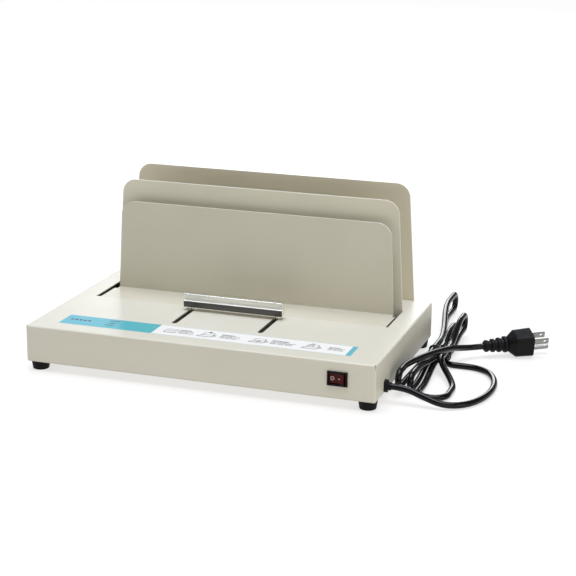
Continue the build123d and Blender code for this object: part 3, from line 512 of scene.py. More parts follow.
@dataclass(frozen=True)
class PrintedFilm(Finish):
    """Printed film: a blue panel, a white panel between two fine lines, and a short end strip."""

    left: float
    right: float
    front: float
    back: float
    border: float = 0.25 * MM
    split: float = -56.8 * MM
    strip_left: float = 152.4 * MM
    line_width: float = 0.55 * MM

    def shade(self, graph: Graph) -> bpy.types.Material:
        """Flat printed colours, chosen by place on the film.

        Args:
            graph: The empty graph to fill.

        Returns:
            The finished material.
        """
        x, y, _ = graph.axes()

        def between(value: Value, low: float, high: float) -> Value:
            """One inside the span, zero outside."""
            return (value > low) * (value < high)

        inside = between(y, self.front + self.border, self.back - self.border)
        panel = between(x, self.left, self.split) * inside
        strip = between(x, self.strip_left, self.right) * inside
        row = between(x, self.split + self.border, self.strip_left - self.border)
        lines = (between(y, self.front + self.border, self.front + self.border + self.line_width)
                 + between(y, self.back - self.border - self.line_width, self.back - self.border)) * row
        ink = graph.noise(40 * MM, 1.0)
        along = graph.ramp(x, self.left, self.split)
        blue = graph.mix(along, srgb(75, 158, 176), srgb(70, 163, 168))
        paper = graph.mix(ink, srgb(223, 222, 217), srgb(218, 217, 212))
        colour = graph.mix(panel, paper, blue)
        colour = graph.mix(strip, colour, srgb(86, 166, 176))
        colour = graph.mix(lines, colour, srgb(126, 176, 186))
        return graph.surface(Base_Color=colour, Roughness=0.44 + 0.08 * ink, Coat_Weight=0.05,
                             Coat_Roughness=0.3, Normal=graph.bump(graph.noise(3 * MM, 2.0), 0.02 * MM))


@dataclass(frozen=True)
class HotPlateMetal(Finish):
    """Rolled aluminium with browned drops and streaks of old glue along the middle."""

    middle: float

    def shade(self, graph: Graph) -> bpy.types.Material:
        """Aluminium that is stained near its middle line.

        Args:
            graph: The empty graph to fill.

        Returns:
            The finished material.
        """
        _, y, _ = graph.axes()
        grain = graph.noise(0.5 * MM, 2.0, (0.05, 1.0, 1.0))
        near = graph.ramp(abs(y - self.middle), 16 * MM, 4 * MM)
        glue = graph.ramp(graph.noise(6 * MM, 4.0, (0.5, 1.0, 1.0)), 0.52, 0.66) * near
        bare = graph.mix(grain, srgb(196, 196, 196), srgb(160, 160, 158))
        return graph.surface(Base_Color=graph.mix(glue, bare, srgb(128, 96, 52)),
                             Metallic=1.0 - glue * 0.9, Roughness=0.34 + grain * 0.12 - glue * 0.1,
                             Normal=graph.bump(grain * 0.2 + glue, 0.05 * MM))


CASING_PAINT = PowderCoat("Casing cream powder coat", srgb(202, 199, 184), srgb(197, 194, 178))
# Painted light: the middle plate's paint is a copy of the same cream paint, lightened to offset the shade
# that falls between the plates.
LIGHTENED_PLATE_PAINT = PowderCoat("Plate cream powder coat", srgb(208, 204, 184), srgb(202, 197, 177), roughness=0.46,
                         peel_size=0.7 * MM, edge_highlight_from=60 * MM)
# The clamp carries a painted shade on its slab under the casing and a painted highlight on its upper edges.
CLAMP_PAINT = PowderCoat("Clamp cream powder coat", srgb(196, 192, 174), srgb(190, 186, 168), roughness=0.42,
                         peel_size=0.7 * MM, slot_shade_before=-4 * MM, edge_highlight_from=60 * MM)
# Painted light: the rear plate's paint is likewise lightened to offset the shade between the plates.
LIGHTENED_REAR_PAINT = PowderCoat("Rear plate cream powder coat", srgb(206, 200, 178), srgb(199, 193, 171),
                        roughness=0.46, peel_size=0.7 * MM, edge_highlight_from=60 * MM)
ZINC = Metal("Zinc plated steel", srgb(206, 206, 200), srgb(170, 168, 156), roughness=0.3)
GALVANISED = Metal("Galvanised sheet", srgb(190, 194, 196), srgb(150, 154, 156), roughness=0.36, spangle=0.35)
POST_CHROME = Metal("Chrome posts", srgb(228, 228, 226), srgb(190, 190, 188), roughness=0.1)
NICKEL = Metal("Nickel plated blades", srgb(150, 149, 146), srgb(118, 116, 112), roughness=0.24,
               grain=(0.2, 0.2, 1.0))
BRASS = Metal("Brass contacts", srgb(206, 172, 96), srgb(160, 128, 66), roughness=0.3)
FUSE_METAL = Metal("Thermal fuse case", srgb(200, 200, 196), srgb(160, 160, 156), roughness=0.25)
FOOT_RUBBER = Moulded("Foot rubber", srgb(13, 13, 13), srgb(30, 29, 28), roughness=0.5, grain_depth=0.04 * MM,
                      shine=0.12)
SWITCH_PLASTIC = Moulded("Switch bezel plastic", srgb(10, 9, 9), srgb(22, 21, 21), roughness=0.3, shine=0.12)
ROCKER_PLASTIC = Moulded("Rocker dark red", srgb(70, 12, 13), srgb(50, 9, 10), roughness=0.16, coat=0.02,
                         grain_depth=0.008 * MM, shine=0.12)
MARK_PAINT = Moulded("Rocker mark white", srgb(222, 196, 194), srgb(196, 168, 166), roughness=0.4)
LAMP_GLASS = Moulded("Neon lamp glass", srgb(214, 128, 76), srgb(190, 96, 50), roughness=0.12, coat=0.8)
PAD_NYLON = Moulded("Glide pad nylon", srgb(202, 198, 182), srgb(190, 186, 170), roughness=0.5)
BLOCK_NYLON = Moulded("Terminal block nylon", srgb(222, 220, 210), srgb(198, 195, 184), roughness=0.42)
CERAMIC = Moulded("Glazed ceramic", srgb(228, 224, 212), srgb(206, 200, 186), roughness=0.2, coat=0.5)
RESIN = Moulded("Thermostat resin", srgb(42, 32, 28), srgb(66, 54, 48), roughness=0.42)
SILICONE = Moulded("Silicone heating mat", srgb(186, 74, 44), srgb(160, 60, 38), roughness=0.6,
                   grain_size=1.2 * MM, grain_depth=0.06 * MM)
INSULATION = Fibre("Insulation board", srgb(218, 210, 188), srgb(186, 176, 150), strand=0.9 * MM)
SLEEVE = Fibre("Glass sleeve", srgb(222, 218, 206), srgb(176, 170, 154), strand=0.35 * MM)
WIRE_PVC = Moulded("Wire insulation", srgb(36, 36, 40), srgb(60, 60, 64), roughness=0.36)
GLAND_PLASTIC = Moulded("Gland nylon", srgb(12, 12, 12), srgb(28, 28, 28), roughness=0.36, shine=0.15)
PLUG_PVC = Moulded("Plug vinyl", srgb(10, 10, 11), srgb(23, 23, 24), roughness=0.42,
                   grain_depth=0.03 * MM, shine=0.13)
TIE_PLASTIC = Moulded("Tie plastic", srgb(11, 11, 12), srgb(25, 25, 26), roughness=0.38, shine=0.2)
CORD_JACKET = CordJacket("Cord jacket black", srgb(9, 9, 10), srgb(36, 36, 37))
PRINT_GREY = Moulded("Print grey", srgb(74, 78, 84), srgb(60, 64, 72), roughness=0.5, shine=0.2)
PRINT_DARK = Moulded("Print slate", srgb(48, 56, 64), srgb(38, 46, 54), roughness=0.5, shine=0.2)


# ------------------------------------------------------------------ meshes
def placed(name: str, data: bpy.types.ID) -> bpy.types.Object:
    """Put a new object in the scene.

    Args:
        name: The object's name.
        data: Its mesh, curve, lamp or camera.

    Returns:
        The object.
    """
    made = bpy.data.objects.new(name, data)
    bpy.context.scene.collection.objects.link(made)
    return made


def unit(vectors: Points) -> Points:
    """Vectors of length one along the given ones."""
    return vectors / np.linalg.norm(vectors, axis=-1, keepdims=True)


def mesh_object(name: str, points: Points, faces: Iterable[Sequence[int]],
                smooth: bool = True) -> bpy.types.Object:
    """Put points and faces into a new object at the origin.

    Args:
        name: The object's name.
        points: An array of places, one row each.
        faces: Point numbers of each face, seen anticlockwise from outside.
        smooth: Whether the faces are shaded smooth.

    Returns:
        The object, linked to the scene.
    """
    mesh = bpy.data.meshes.new(name)
    mesh.from_pydata(np.asarray(points, float).reshape(-1, 3).tolist(), [], [list(face) for face in faces])
    mesh.update()
    mesh.polygons.foreach_set("use_smooth", [smooth] * len(mesh.polygons))
    return placed(name, mesh)


def grid_faces(rows: int, columns: int, closed: bool) -> Points:
    """Faces between rings of points.

    Each joins points b and b + 1 of ring a to those of ring a + 1.

    Args:
        rows: How many rings there are.
        columns: How many points each ring has.
        closed: Whether the last ring joins the first.

    Returns:
        Four point numbers for each face.
    """
    a, b = np.meshgrid(np.arange(rows if closed else rows - 1), np.arange(columns), indexing="ij")
    after_a, after_b = (a + 1) % rows, (b + 1) % columns
    return np.stack([a * columns + b, after_a * columns + b, after_a * columns + after_b,
                     a * columns + after_b], axis=-1).reshape(-1, 4)


def tube_points(path: Points, radius: float, sides: int, closed: bool) -> Points:
    """Places on a round tube.

    Each ring is the path's point plus radius times (cosine of the angle along the side direction and
    sine of it along the up direction), both square to the path's direction there.

    Args:
        path: The places that the tube runs through.
        radius: Its radius.
        sides: How many points each ring has.
        closed: Whether the path's end joins its start.

    Returns:
        A ring of places for each place of the path.
    """
    after, before = np.roll(path, -1, axis=0), np.roll(path, 1, axis=0)
    along = after - before
    if not closed:
        along[0], along[-1] = path[1] - path[0], path[-1] - path[-2]
    along = unit(along)
    side = unit(np.cross(along, ASKEW))
    up = np.cross(along, side)
    angle = np.linspace(0, 2 * pi, sides, endpoint=False)[None, :, None]
    return path[:, None, :] + radius * (np.cos(angle) * side[:, None, :] + np.sin(angle) * up[:, None, :])


def close_up(piece: bpy.types.Object) -> None:
    """Fill the open ends of a piece's tubes, if any, and point its faces outwards.

    Args:
        piece: The piece, whose mesh is changed.
    """
    work = bmesh.new()
    work.from_mesh(piece.data)
    bmesh.ops.holes_fill(work, edges=[edge for edge in work.edges if edge.is_boundary])
    bmesh.ops.recalc_face_normals(work, faces=work.faces)
    work.to_mesh(piece.data)
    work.free()


def box_points(low: Points, high: Points) -> Points:
    """The eight corners of each box between rows of low and high corners."""
    pick = np.array([[i & 1, (i >> 1) & 1, (i >> 2) & 1] for i in range(8)])
    return low[:, None, :] * (1 - pick) + high[:, None, :] * pick


BOX_FACES = np.array([[0, 2, 3, 1], [4, 5, 7, 6], [0, 1, 5, 4], [2, 6, 7, 3], [0, 4, 6, 2], [1, 3, 7, 5]])


def softened(node: str, width: float, segments: int = 2, corner: float = 35.0) -> bpy.types.Object:
    """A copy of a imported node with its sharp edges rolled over.

    Args:
        node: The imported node's name.
        width: How wide the rolled edge is, in metres.
        segments: How many facets the rolled edge has.
        corner: The least turn between faces that counts as an edge, in degrees.

    Returns:
        The copy, with a live bevel.
    """
    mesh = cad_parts[node].data.copy()
    mesh.name = f"{node}_dressed"
    mesh.materials.clear()
    for spare in [item.name for item in mesh.attributes if item.name in ("custom_normal", "UVMap")]:
        mesh.attributes.remove(mesh.attributes[spare])
    work = bmesh.new()
    work.from_mesh(mesh)
    bmesh.ops.remove_doubles(work, verts=work.verts, dist=MERGE_DISTANCE)
    bmesh.ops.dissolve_limit(work, angle_limit=FLAT_ANGLE, verts=work.verts, edges=work.edges)
    work.to_mesh(mesh)
    work.free()
    mesh.polygons.foreach_set("use_smooth", [True] * len(mesh.polygons))
    mesh.set_sharp_from_angle(angle=radians(corner))
    made = placed(mesh.name, mesh)
    bevel = made.modifiers.new("Rolled edge", "BEVEL")
    bevel.width = width
    bevel.segments = segments
    bevel.limit_method = "ANGLE"
    bevel.angle_limit = radians(corner)
    bevel.harden_normals = True
    bevel.miter_outer = "MITER_ARC"
    return made


def dress(finish: Finish, *nodes: str) -> None:
    """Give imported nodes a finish, in place of the plain one that they came with.

    Args:
        finish: The finish.
        nodes: The nodes' names.
    """
    for node in nodes:
        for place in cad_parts[node].material_slots:
            place.material = finish.material()
        log.info("%s: %s", node, finish.name)


def attach(piece: bpy.types.Object, finish: Finish, body: Body, slot: str,
           *replaced: str) -> bpy.types.Object:
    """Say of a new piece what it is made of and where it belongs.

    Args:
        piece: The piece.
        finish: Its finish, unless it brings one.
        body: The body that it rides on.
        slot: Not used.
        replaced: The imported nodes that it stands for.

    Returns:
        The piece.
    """
    if not piece.data.materials:
        piece.data.materials.append(finish.material())
    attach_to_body(piece, body.value)
    if replaced:
        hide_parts(*replaced)
    log.info("%s: %s on %s", piece.name, finish.name, body.value)
    return piece


# ------------------------------------------------------------------ studio
@dataclass
class Studio:
    """Pale floor, soft boxes and the photograph's camera."""

    camera_place: tuple[float, float, float] = (0.56870, -1.52440, 0.54558)
    camera_turn: tuple[float, float, float] = (73.9549, -0.5706, 18.6161)
    lens: float = 98.73
    floor_half: float = 12.0
    floor_drop: float = 0.2 * MM
    floor_glow: float = 0.65
    soft_boxes: dict[str, tuple] = field(default_factory=lambda: {
        "Back soft box": ((-0.75, 3.1, 1.3), (0.0, 0.0, 0.05), (1.6, 1.1), 34.0, (0.96, 1.0, 1.04)),
        "Front soft box": ((1.3, -1.8, 0.95), (0.0, 0.0, 0.1), (1.6, 1.2), 9.0, (1.0, 0.97, 0.91)),
        "Right fill": ((2.5, -0.9, 0.7), (0.2, 0.0, 0.05), (1.2, 1.0), 10.0, (1.0, 0.97, 0.92)),
    })
    sky_turn: tuple[float, float, float] = (3.0, 0.0, 0.0)
    sky_strength: float = 3.4
    sky_width: float = 50.0
    sky_colour: Colour = (0.97, 1.01, 1.14)
    room_strength: float = 0.2
    room_colour: Colour = (1.0, 0.94, 0.84)

    def build(self) -> None:
        """Make the camera, the floor, the lights and the sky."""
        self.build_camera()
        self.build_floor()
        for name, settings in self.soft_boxes.items():
            self.build_light(name, *settings)
        self.build_sky()
        self.build_room()

    def build_camera(self) -> None:
        """Stand the camera where the photograph was taken from."""
        lens = bpy.data.cameras.new("Camera")
        lens.lens = self.lens
        lens.sensor_width = 36.0
        lens.clip_end = 100.0
        camera = placed("Camera", lens)
        camera.location = self.camera_place
        camera.rotation_euler = Euler([radians(angle) for angle in self.camera_turn])
        bpy.context.scene.camera = camera

    def build_floor(self) -> None:
        """Lay a plain pale floor under the feet."""
        reach = self.floor_half
        corners = np.array([[-reach, -reach, -self.floor_drop], [reach, -reach, -self.floor_drop],
                            [reach, reach, -self.floor_drop], [-reach, reach, -self.floor_drop]])
        floor = mesh_object("Floor", corners, [(0, 1, 2, 3)], smooth=False)
        graph = Graph("Floor pale matte")
        tone = graph.mix(graph.noise(0.4, 2.0), srgb(140, 137, 132), srgb(136, 133, 128))
        matte = graph.surface(Base_Color=tone, Roughness=0.8, Emission_Color=srgb(255, 255, 255),
                              Emission_Strength=self.floor_glow)
        floor.data.materials.append(matte)

    def build_light(self, name: str, place: Sequence[float], target: Sequence[float],
                    size: Sequence[float], power: float, colour: Colour) -> None:
        """Hang one rectangular soft box that faces a target.

        Args:
            name: The lamp's name.
            place: Where it hangs.
            target: The place that it faces.
            size: Its width and height.
            power: Its power in watts.
            colour: Its light's colour.
        """
        lamp = self.hang(name, "AREA", power, colour)
        lamp.data.shape = "RECTANGLE"
        lamp.data.size, lamp.data.size_y = size
        lamp.location = place
        lamp.rotation_euler = (Vector(target) - Vector(place)).to_track_quat("-Z", "Y").to_euler()

    @staticmethod
    def hang(name: str, kind: str, power: float, colour: Colour) -> bpy.types.Object:
        """Make one lamp, which its caller sizes and turns.

        Args:
            name: The lamp's name.
            kind: Its kind in Blender.
            power: Its power in watts, or a sun's strength.
            colour: Its light's colour.

        Returns:
            The lamp.
        """
        light = bpy.data.lights.new(name, kind)
        light.energy = power
        light.color = colour
        return placed(name, light)

    def build_sky(self) -> None:
        """Shine the wide, even ceiling light that reaches the whole floor alike."""
        lamp = self.hang("Ceiling", "SUN", self.sky_strength, self.sky_colour)
        lamp.data.angle = radians(self.sky_width)
        lamp.rotation_euler = Euler([radians(angle) for angle in self.sky_turn])

    def build_room(self) -> None:
        """Fill the room with a little even warm light."""
        world = bpy.data.worlds.new("Room")
        world.use_nodes = True
        background = world.node_tree.nodes["Background"]
        background.inputs["Color"].default_value = (*self.room_colour, 1.0)
        background.inputs["Strength"].default_value = self.room_strength
        bpy.context.scene.world = world
        bpy.context.scene.view_settings.view_transform = "Standard"


# ------------------------------------------------------------------ cord
@dataclass
class WireTie:
    """Covered wire tie round the hank's waist, whose two ends are twisted together."""

    ring_radius: float = 0.702 * MM
    strand_radius: float = 0.7 * MM
    twist_radius: float = 0.75 * MM
    flattening: float = 2.0
    squareness: float = 0.5
    twist_turns: float = 2.5
    twist_length: float = 13 * MM
    twist_way: tuple[float, float, float] = (0.35, -0.86, 0.36)
    twist_from: tuple[float, float, float] = (2 * MM, -1.2 * MM, -0.4 * MM)
    ring_steps: int = 72
    ring_sides: int = 8
    strand_steps: int = 40
    strand_sides: int = 7

    def ring(self, centre: Points, half: Points) -> Points:
        """One flat turn: a tube along a superellipse of the fourth power, widened along Y.

        Args:
            centre: The turn's middle.
            half: Half of its width, depth and height.

        Returns:
            The tube's points, ring by ring.
        """
        angle = np.linspace(0, 2 * pi, self.ring_steps, endpoint=False)
        across, up = (np.sign(wave) * np.abs(wave) ** self.squareness
                      for wave in (np.cos(angle), np.sin(angle)))
        path = np.stack([centre[0] + half[0] * across, np.full_like(angle, centre[1]),
                         centre[2] + half[2] * up], axis=1)
        rings = tube_points(path, self.ring_radius, self.ring_sides, True)
        rings[:, :, 1] = centre[1] + (rings[:, :, 1] - centre[1]) * self.flattening
        return rings.reshape(-1, 3)

    def strand(self, root: Points, phase: float) -> Points:
        """One twisted end: a tube along a helix that starts at the given phase.

        Args:
            root: Where the twist starts.
            phase: The angle at which this end starts, in radians.

        Returns:
            The tube's points, ring by ring.
        """
        way = unit(np.array(self.twist_way))
        side = unit(np.cross(way, [0.0, 0.0, 1.0]))
        up = np.cross(way, side)
        share = np.linspace(0, 1, self.strand_steps)[:, None]
        angle = 2 * pi * self.twist_turns * share + phase
        helix = (root + way * self.twist_length * share
                 + self.twist_radius * (side * np.cos(angle) + up * np.sin(angle)))
        return tube_points(helix, self.strand_radius, self.strand_sides, False).reshape(-1, 3)

    def build(self) -> bpy.types.Object:
        """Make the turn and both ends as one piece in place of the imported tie.

        Returns:
            The tie.
        """
        low, high = (np.array(corner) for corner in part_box("cord_tie"))
        centre = (low + high) / 2
        root = np.array([centre[0], centre[1], high[2]]) + self.twist_from
        ring = self.ring(centre, (high - low) / 2 - self.ring_radius)
        strands = [self.strand(root, phase) for phase in (0.0, pi)]
        index = [grid_faces(self.ring_steps, self.ring_sides, True)]
        for order, strand in enumerate(strands):
            index.append(grid_faces(self.strand_steps, self.strand_sides, False)
                         + len(ring) + order * len(strand))
        made = mesh_object("wire_tie", np.concatenate([ring, *strands]), np.concatenate(index).tolist())
        close_up(made)
        return attach(made, TIE_PLASTIC, Body.BASE, "tie_wire", "cord_tie")


@dataclass
class MainsCord:
    """Mains cord from the gland to the plug, with its tied hank, all in millimetres until it is made."""

    casing_side: float = 190.0
    diameter: float = 6.8
    floor: float = 3.5
    gland_face: tuple[float, float, float] = (196.6, -81.0, 17.0)
    lead_exit: float = 14.4
    lead_places: tuple = ((40.0, -83.0, 7.3), (60.0, -84.5, 1.4), (78.5, -74.0, 0.0), (91.0, -53.5, 0.0),
                          (96.5, -28.0, 0.0), (96.0, -3.0, 0.0), (90.5, 18.0, 0.0), (81.5, 34.5, 0.0),
                          (65.5, 44.0, 0.0))
    tie_y: float = 62.0
    waist_half: float = 6.0
    waist_low: float = 5.6
    pitch: float = 7.4
    waist_left: float = 205.4
    quarter_turn: float = 12.0
    far_turns: tuple = ((28.6, 150.5, 8.5, 6.0), (21.4, 132.0, 8.0, 0.0), (-4.0, 245.8, 9.0, 0.0))
    near_turns: tuple = ((57.5, -48.0, 15.0, 0.0), (19.0, -44.5, 8.0, 0.0), (9.0, -54.0, 8.6, 4.6))
    crossing_turn: float = 72.0
    crossing_fall: float = 0.12
    crossing_end: tuple[float, float, float] = (221.5, 35.5, 21.4)
    plug_start: tuple[float, float, float] = (254.0, 91.0, 12.7)
    plug_pitch: float = 2.5
    plug_turn: float = 30.0
    tail_exit: float = 13.0
    plug_entry: float = 13.0
    tail_places: tuple = ((42.9, 70.4, 14.6),)
    real_length: float = 1.842
    fold_step: float = 45.0

    def stations(self) -> list[tuple[Points, Points]]:
        """Places that the hank passes.

        Returns:
            Each place with the heading there.
        """
        away, near, up = np.array([0.0, 1.0, 0.0]), np.array([0.0, -1.0, 0.0]), np.array([0.0, 0.0, 1.0])
        left = np.array([-1.0, 0.0, 0.0])
        turn = np.array([self.waist_left + 2 * self.pitch + self.quarter_turn,
                         self.tie_y - self.waist_half - self.quarter_turn, self.floor])
        stops = [(turn - left * self.diameter, left), (turn, left)]
        for order, (far, close) in enumerate(zip(self.far_turns, self.near_turns)):
            column = self.waist_left + (len(self.far_turns) - 1 - order) * self.pitch
            waist = [np.array([column, self.tie_y + end * self.waist_half, self.waist_low])
                     for end in (-1, 1)]
            far_low = np.array([self.casing_side + far[0], far[1], self.floor + far[3]])
            low = np.array([self.casing_side + close[0], close[1], self.floor + close[3]])
            high, beside = low + 2 * close[2] * up, low + 2 * close[2] * left
            arrive, leave = ((low, beside), (high, low), (low, high))[order]
            stops += [(waist[0], away), (waist[1], away), (far_low, away), (far_low + 2 * far[2] * up, near),
                      (waist[1] + self.pitch * up, near), (waist[0] + self.pitch * up, near),
                      (arrive, near), (leave, away)]
        end = np.array(self.crossing_end)
        return stops + [(end, self.crossing()), (end + self.crossing() * self.diameter, self.crossing())]

    def crossing(self) -> Points:
        """Heading of the hank where it ends over its own near half."""
        turn = radians(self.crossing_turn)
        return unit(np.array([cos(turn), sin(turn), -self.crossing_fall]))

    @staticmethod
    def joint(start: Points, heading: Points, end: Points, end_heading: Points) -> tuple[Points, Points]:
        """Where the two arcs between two places meet: the middle of the line between their corners.

        Both corners lie as far from their places as from each other's middle, which gives a
        quadratic equation for that reach.

        Args:
            start: The first place.
            heading: The heading there.
            end: The second place.
            end_heading: The heading there.

        Returns:
            The meeting place and the heading there.
        """
        chord, headings = end - start, heading + end_heading
        spread = 2 * (1 - heading @ end_heading)
        along, square = chord @ headings, chord @ chord
        if spread < PARALLEL:
            reach = square / (2 * along)
        else:
            reach = ((along * along + spread * square) ** 0.5 - along) / spread
        first, second = start + heading * reach, end - end_heading * reach
        return (first + second) / 2, unit(second - first)

    def corners(self, start: Points, heading: Points, end: Points) -> tuple[Points, float]:
        """Corners of a fold: the polygon that touches an arc from outside at equal steps.

        For an arc of turn t in n steps, corner i stands at angle (i + 1/2) t / n round the centre,
        at the radius over the cosine of t / 2n.

        Args:
            start: Where the arc starts.
            heading: The heading there.
            end: Where it ends.

        Returns:
            The corners, and half of the polygon's side.
        """
        chord = end - start
        half = np.arccos(np.clip(heading @ chord / np.linalg.norm(chord), -1, 1))
        side = unit(chord - heading * (heading @ chord))
        radius = np.linalg.norm(chord) / (2 * sin(half))
        count = max(1, ceil(2 * half / radians(self.fold_step)))
        step = 2 * half / count
        angle = ((np.arange(count) + 0.5) * step)[:, None]
        centre = start + radius * side
        reach = radius / cos(step / 2)
        return centre + reach * (heading * np.sin(angle) - side * np.cos(angle)), radius * tan(step / 2)

    def hank(self) -> list[Points]:
        """Control points of the hank from its first place to its last.

        The curve touches each side of its control polygon halfway along. Where a station would lie far
        from the middle of its side, one more point on the side puts it back there.

        Returns:
            The control points, in millimetres.
        """
        stops = self.stations()
        points = [stops[0][0]]
        for (start, heading), (end, end_heading) in zip(stops, stops[1:]):
            straight = (end - start) @ heading > STRAIGHT * np.linalg.norm(end - start)
            if straight and heading @ end_heading > STRAIGHT:
                middle = (start + end) / 2
                arcs = [(start, heading, middle[None], np.linalg.norm(middle - start))]
            else:
                joint, joint_heading = self.joint(start, heading, end, end_heading)
                arcs = [(start, heading, *self.corners(start, heading, joint)),
                        (joint, joint_heading, *self.corners(joint, joint_heading, end))]
            for station, way, corners, half in arcs:
                before = np.linalg.norm(station - points[-1])
                if before > 2 * half:
                    points.append(station - way * half)
                elif 0 < 2 * before < half:
                    points.append(station + way * before)
                points += [*corners]
        return points + [stops[-1][0]]

    def route(self) -> Points:
        """Put the lead, the hank and the tail together.

        Returns:
            Every control point of the cord, in metres.
        """
        beside = np.array([self.casing_side, 0.0, 0.0])
        gland = np.array(self.gland_face)
        lead = [gland, gland + np.array([self.lead_exit, 0.0, 0.0])]
        lead += [beside + place + np.array([0.0, 0.0, self.floor]) for place in np.array(self.lead_places)]
        pitch, turn = radians(self.plug_pitch), radians(self.plug_turn)
        axis = np.array([cos(turn) * cos(pitch), sin(turn) * cos(pitch), sin(pitch)])
        plug = np.array(self.plug_start)
        hank = self.hank()
        tail = [hank[-1] + self.crossing() * self.tail_exit]
        tail += [beside + place for place in np.array(self.tail_places)]
        tail += [plug - axis * self.plug_entry, plug]
        return np.array([*lead, *hank, *tail]) * MM

    def build(self) -> None:
        """Make the cord as one smooth curve, and dress the gland, the tie and the plug."""
        route = self.route()
        curve = bpy.data.curves.new("mains_cord", "CURVE")
        curve.dimensions = "3D"
        curve.bevel_depth = self.diameter / 2 * MM
        curve.bevel_resolution = 5
        curve.resolution_u = 8
        curve.use_fill_caps = True
        spline = curve.splines.new("NURBS")
        spline.points.add(len(route) - 1)
        spline.points.foreach_set("co", np.c_[route, np.ones(len(route))].ravel())
        spline.order_u = 3
        spline.use_endpoint_u = True
        cord = placed("mains_cord", curve)
        attach(cord, CORD_JACKET, Body.BASE, "cord_pvc", "cord_lead", "cord_hank", "cord_tail")
        tie = WireTie().build()
        dress(GLAND_PLASTIC, "cord_gland")
        dress(PLUG_PVC, "plug_body")
        dress(NICKEL, "plug_blades", "plug_ground_pin")


# ------------------------------------------------------------------ casing
@dataclass
class Casing:
    """Cream sheet casing, its underside, its feet and their fasteners."""

    rolled_edge: float = 0.25 * MM

    def build(self) -> None:
        """Dress the casing and what holds it together."""
        cover = softened("top_casing", self.rolled_edge)
        attach(cover, CASING_PAINT, Body.BASE, "casing_paint", "top_casing")
        dress(CASING_PAINT, "base_plate")
        dress(FOOT_RUBBER, "foot_front_left", "foot_front_right", "foot_rear_left", "foot_rear_right")
        dress(ZINC, "foot_screws", "foot_nuts", "casing_screws", "rear_plate_screws", "middle_plate_screws",
              "rail_screws")
        dress(GALVANISED, "guide_rail_left", "guide_rail_right")


@dataclass
class UprightPlates:
    """The two fixed plates that hold books while they cool."""

    rolled_edge: float = 0.45 * MM
    edge_segments: int = 3

    def build(self) -> None:
        """Dress both plates with rolled edges."""
        # Both plates take paint lightened as painted light against the shade between the plates.
        for node, finish in (("middle_plate", LIGHTENED_PLATE_PAINT), ("rear_plate", LIGHTENED_REAR_PAINT)):
            plate = softened(node, self.rolled_edge, self.edge_segments)
            attach(plate, finish, Body.BASE, "plate_paint", node)


@dataclass
class SlidingClamp:
    """The clamp: slab and front plate in one sheet, its pads, and the handle on two posts."""

    rolled_edge: float = 0.45 * MM
    edge_segments: int = 3
    bar_edge: float = 0.25 * MM
    band_height: float = 6.4 * MM
    band_depth: float = 1.0 * MM
    hollow_drop: float = 0.7 * MM
    hollow_depth: float = 3.2 * MM

    def build(self) -> None:
        """Dress the clamp and the handle."""
        plate = softened("clamp_plate", self.rolled_edge, self.edge_segments)
        attach(plate, CLAMP_PAINT, Body.CLAMP, "plate_paint", "clamp_plate")
        self.build_handle()
        dress(PAD_NYLON, "glide_pads")
        dress(POST_CHROME, "handle_posts")
        dress(ZINC, "handle_washers", "handle_screws")

    def build_handle(self) -> None:
        """Dress the handle bar in chrome with a lower band painted dark as a painted reflection."""
        low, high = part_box("handle_bar")
        chrome = BandedChrome("Chrome handle bar", low.z + self.band_height, low.y + self.band_depth,
                              high.z - self.hollow_drop, low.y + self.hollow_depth)
        attach(softened("handle_bar", self.bar_edge), chrome, Body.CLAMP, "chrome", "handle_bar")


@dataclass
class HotPlate:
    """Hot plate, heating mat, insulation, shield and the parts that guard the heat."""

    def build(self) -> None:
        """Dress the heater stack."""
        low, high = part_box("heater_plate")
        dress(HotPlateMetal("Hot plate aluminium", float(low.y + high.y) / 2), "heater_plate")
        dress(SILICONE, "heating_mat")
        dress(INSULATION, "insulation_board")
        dress(GALVANISED, "heat_shield", "fuse_clip")
        dress(CERAMIC, "ceramic_standoffs")
        dress(ZINC, "heater_screws", "thermostat_screws", "fuse_clip_screw")
        dress(RESIN, "thermostat")
        dress(FUSE_METAL, "thermal_fuse")


@dataclass
class Wiring:
    """Terminal block, earth stud and the wires inside."""

    def build(self) -> None:
        """Dress the wiring."""
        dress(BLOCK_NYLON, "terminal_block")
        dress(BRASS, "terminal_screws", "earth_stud", "earth_nut", "switch_terminals")
        dress(WIRE_PVC, "supply_wires", "switch_wires")
        dress(SLEEVE, "heater_wires")


